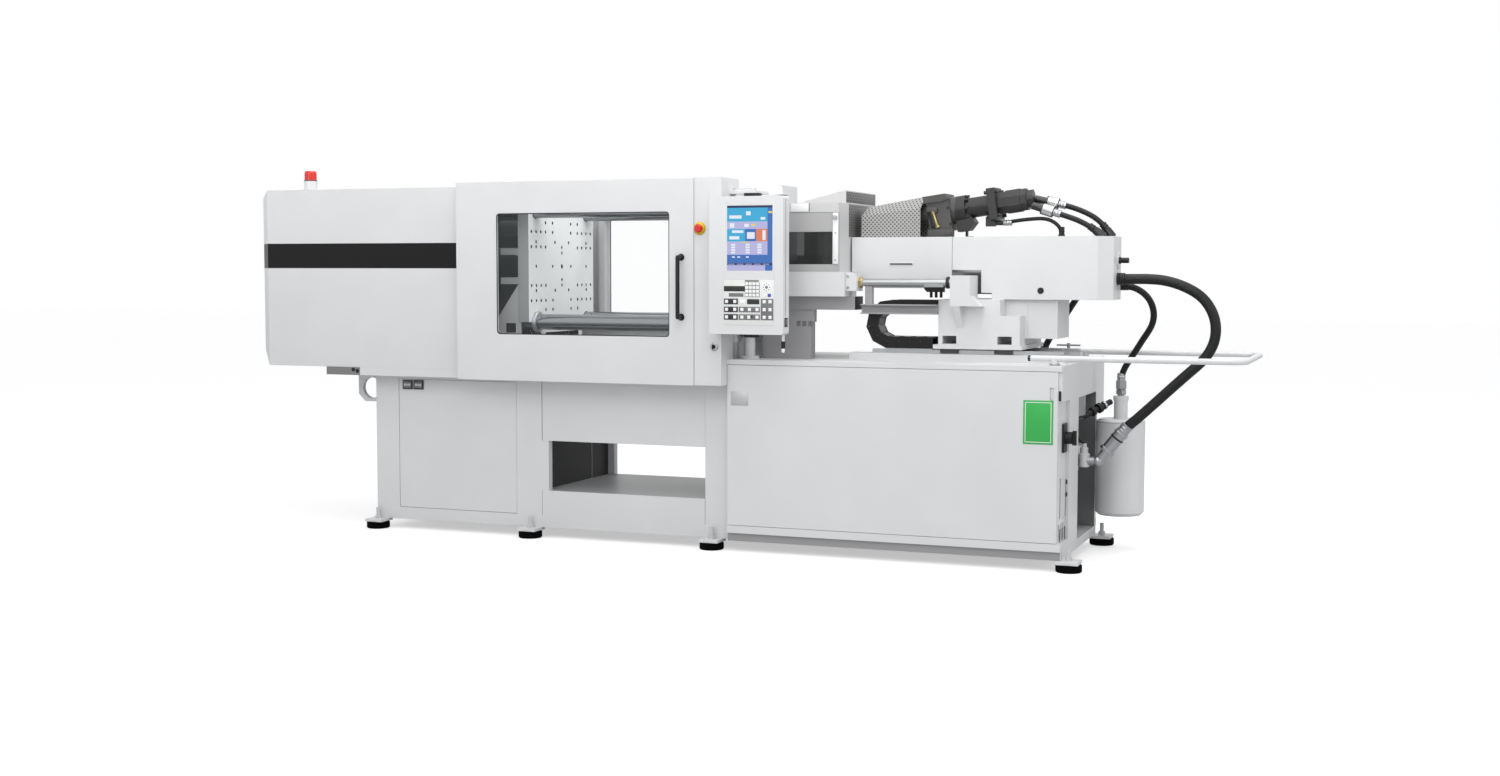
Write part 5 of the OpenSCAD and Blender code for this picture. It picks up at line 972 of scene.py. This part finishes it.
class MACHINE_OT_injection_trim(bpy.types.Operator):
    """Screws, pipes, rings and caps of the injection unit"""
    bl_idname = "machine.injection_trim"
    bl_label = "Injection trim"

    def execute(self, context):
        s = Shape()
        # round plug and stub on the right cover, and a ring round the carriage cylinder
        s.turned((1614, BEAM_FACE, 1268), OPERATOR_WAY, [
            (0, 15), (2, 15), (3, 13), (3, 9), (1.5, 8), (1.5, 0)], BLACK_PLASTIC, 28)
        s.turned((1945, 20, 1410), X_WAY, [(0, 16), (8, 16), (9, 13), (43, 13), (45, 11), (45, 0)],
                 BLACK_PLASTIC, 24)
        s.turned((1195, CYLINDER_Y, CYLINDER_Z), X_WAY, [
            (0, 18.2), (0, 27), (1, 28), (12, 28), (13, 27), (13, 18.2), (0, 18.2)],
            BLACK_PLASTIC, 32)
        # two pipes beside the screw block, one of brass, with their nuts
        for x, finish in ((1046, BLACK_PLASTIC), (1070, "brass")):
            top, low = (x, -84, 1645), (x + 26, -84, 1566)
            s.bar(low, top, 5.5, finish, 16)
            run = Vector(top) - Vector(low)
            s.nut(low, run, 17, 12, finish)
            s.nut(Vector(top) - run.normalized() * 12, run, 17, 12, finish)
        s.block((1040, -92, 1640), (1092, -74, 1662), "dark block paint", 1.5)
        s.block((1046, -92, 1523), (1172, -60, 1556), "dark block paint", 2)
        s.turned((1150, -92, 1541), OPERATOR_WAY, [(0, 15), (10, 15), (12, 12), (12, 0)],
                 "dark block paint", 24)
        # blind holes in the screw block, drawn as black discs of painted shade
        for x, z in ((1142, 1661), (1155, 1584)):
            s.turned((x, -75.2, z), OPERATOR_WAY, [(0, 7), (0.8, 7), (0.8, 0)], BLACK_PLASTIC, 18)
        # bracket under the screw drive
        s.block((1214, -14, 1521), (1248, 14, 1526), BLACK_PLASTIC, 0.8)
        s.block((1214, -14, 1526), (1222, 14, 1556), BLACK_PLASTIC, 0.8)
        # screws in the saddle's sole plate, under its body
        for x in (1160, 1510):
            for y in (-228, 228):
                s.screw((x, y, 1012), Z_WAY, 8, ZINC)
        # grip slot in the left cover, its opening a dark strip of painted shade
        s.block((876, BEAM_FACE - 1.5, 1383), (1000, BEAM_FACE, 1401), "white powder coat", 0.5)
        s.block((882, BEAM_FACE - 2, 1388), (994, BEAM_FACE - 1, 1396), "dark seam", 0.3)
        # bright sleeves on the motor's two ports
        for name, route, _, first, *_ in HOSES:
            if name.startswith("motor_hose"):
                s.turned(route[0], [-v for v in first], [
                    (1, 20), (1, 26.6), (2, 27.5), (50, 27.5), (51, 27)], "turned steel", 32)
        s.piece("injection_trim", "carriage", "black_plastic")
        return {"FINISHED"}


class MACHINE_OT_services_trim(bpy.types.Operator):
    """Collars, rings and caps round the accumulator and the main pipe"""
    bl_idname = "machine.services_trim"
    bl_label = "Services trim"

    def execute(self, context):
        s = Shape()
        tip, root = Vector((1978, 0, 608)), Vector((1862, 0, 462))
        way = (tip - root).normalized()
        reach = (tip - root).length
        for distance, radius, width, finish in ((reach - 124, 37, 16, ZINC),
                                                (reach - 46, 34, 8, BLACK_PLASTIC),
                                                (reach - 22, 35, 14, ZINC)):
            s.turned(root + way * distance, way, [(0, 24), (0, radius - 1.5), (1.5, radius),
                                                 (width - 1.5, radius), (width, radius - 1.5), (width, 24)],
                     finish, 36)
        # band round the foot of the tank, coupling to the accumulator, and a valve on the main pipe
        s.turned((1560, 180, 652), Z_WAY, [(0, 204), (0, 207), (12, 207), (12, 204), (0, 204)],
                 BLACK_PLASTIC, 64)
        low, high = Vector((1758, 176, 656)), Vector((1868, 312, 724))
        s.bar(low, high, 14, BLACK_PLASTIC)
        for share, radius, width, finish in (
                (0.3, 23, 16, BLACK_PLASTIC), (0.52, 25, 20, BLACK_PLASTIC), (0.72, 21, 12, ZINC)):
            place = low + (high - low) * share
            s.bar(place, place + (high - low).normalized() * width, radius, finish)
        s.turned((1797, 0, 432), Z_WAY, [
            (0, 20), (4, 27), (62, 27), (68, 19), (92, 19), (96, 12), (112, 12), (112, 0)],
            "pale grey guard paint", 28)
        s.bar((1797, 0, 545), (1772, -6, 566), 6, BLACK_PLASTIC)
        # nut and ring on the accumulator, end cap of the guard rail, and washers round its bosses
        s.nut((ACCUMULATOR_X, ACCUMULATOR_Y, 758), Z_WAY, 46, 26, ZINC)
        s.turned((1610, -380, 963), -X_WAY, [(-8, 13.6), (3, 13.6), (5, 11), (5, 0)],
                 BLACK_PLASTIC, 24)
        s.turned((ACCUMULATOR_X, ACCUMULATOR_Y, 628), Z_WAY, [(0, 118.4), (3, 118.6), (6, 116)],
                 "white powder coat", 64)
        for y in (-380, 380):
            s.bar((1727, y, 932), (1727, y, 940), 24, ZINC)
        s.piece("services_trim", "machine", "bright_steel")
        return {"FINISHED"}


class MACHINE_OT_chain(bpy.types.Operator):
    """The drag chain, link by link"""
    bl_idname = "machine.chain"
    bl_label = "Drag chain"

    def execute(self, context):
        s = Shape()
        low_z, turn_x, radius, low_end, high_end, links = 1018, 901, 88, 1112, 1145, 13
        y0, wall, gap = -228, 14, 0.2
        width, height = sizes().link_width / MM, sizes().link_height / MM
        run, bend = low_end - turn_x, math.pi * radius
        step = (run + bend + high_end - turn_x) / links
        centre = Vector((turn_x, 0, low_z + radius))
        joints = []
        for i in range(links + 1):
            d = i * step
            if d < run:
                joints.append(Vector((low_end - d, 0, low_z)))
            elif d > run + bend:
                joints.append(Vector((turn_x + d - run - bend, 0, low_z + 2 * radius)))
            else:
                a = (d - run) / radius
                joints.append(centre - radius * Vector((math.sin(a), 0, math.cos(a))))
        ways = [(b - a).normalized() for a, b in zip(joints, joints[1:])]
        # half the height across the chain at each joint, on the line that halves the angle there
        mitres = []
        for i in range(links + 1):
            before, after = ways[max(i - 1, 0)], ways[min(i, links - 1)]
            across = (before + after).normalized().cross(Y_WAY)
            mitres.append(across * (height / 2 / across.dot(after.cross(Y_WAY))))
        for i, way in enumerate(ways):
            near, far = joints[i] + way * gap, joints[i + 1] - way * gap
            plate = [near - mitres[i], far - mitres[i + 1], far + mitres[i + 1], near + mitres[i]]
            for y in (y0, y0 + width - wall):
                s.outline([(p.x, p.z) for p in plate], (0, y + wall, 0), X_WAY, Z_WAY, wall, "chain nylon")
            # cross bars, dark outside and grey inside the loop, and the pin at the link's end
            middle, across = (joints[i] + joints[i + 1]) / 2, way.cross(Y_WAY)
            inset, half_t = 5, 4
            for place, half, finish in ((inset - height / 2, 17, "grey chain nylon"),
                                        (height / 2 - inset, 23, "chain nylon")):
                corners = [middle + way * a + across * (place + b) for a, b in (
                    (-half, -half_t), (half, -half_t), (half, half_t), (-half, half_t))]
                s.outline([(p.x, p.z) for p in corners], (0, y0 + width - wall, 0), X_WAY, Z_WAY,
                          width - 2 * wall, finish)
            if i:
                s.turned(joints[i] + Y_WAY * (y0 + 2), OPERATOR_WAY, [(0, 9), (2.6, 9), (3.2, 8), (3.2, 0)],
                         "chain nylon", 16)
        middle_y = y0 + width / 2
        made = s.piece("chain_links", "carriage", "black_plastic",
                       (at(low_end, middle_y, low_z), at(high_end, middle_y, low_z + 2 * radius)))
        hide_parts("drag_chain")
        return {"FINISHED"}


OPERATORS = [MACHINE_OT_finishes, MACHINE_OT_stage, MACHINE_OT_hoses, MACHINE_OT_base_trim,
             MACHINE_OT_clamp_trim, MACHINE_OT_door_trim, MACHINE_OT_column_trim, MACHINE_OT_panel,
             MACHINE_OT_guard_trim, MACHINE_OT_injection_trim, MACHINE_OT_services_trim, MACHINE_OT_chain]


class MACHINE_PT_panel(bpy.types.Panel):
    """Lists the machine's groups of pieces"""
    bl_label = "Injection Moulding Machine"
    bl_idname = "MACHINE_PT_panel"
    bl_space_type = "VIEW_3D"
    bl_region_type = "UI"
    bl_category = "Machine"

    def draw(self, context):
        for group in (colours(), sizes(), light()):
            for key in group.__annotations__:
                self.layout.prop(group, key)
        for operator in OPERATORS:
            self.layout.operator(operator.bl_idname)


CLASSES = [MachineColours, MachineSizes, MachineLight, *OPERATORS, MACHINE_PT_panel]


def register():
    for item in CLASSES:
        bpy.utils.register_class(item)
    bpy.types.Scene.machine_colours = PointerProperty(type=MachineColours)
    bpy.types.Scene.machine_sizes = PointerProperty(type=MachineSizes)
    bpy.types.Scene.machine_light = PointerProperty(type=MachineLight)


def unregister():
    del bpy.types.Scene.machine_light
    del bpy.types.Scene.machine_sizes
    del bpy.types.Scene.machine_colours
    for item in reversed(CLASSES):
        bpy.utils.unregister_class(item)


def main():
    register()
    for operator in OPERATORS:
        group, name = operator.bl_idname.split(".")
        getattr(getattr(bpy.ops, group), name)()


if __name__ == "__main__":
    main()
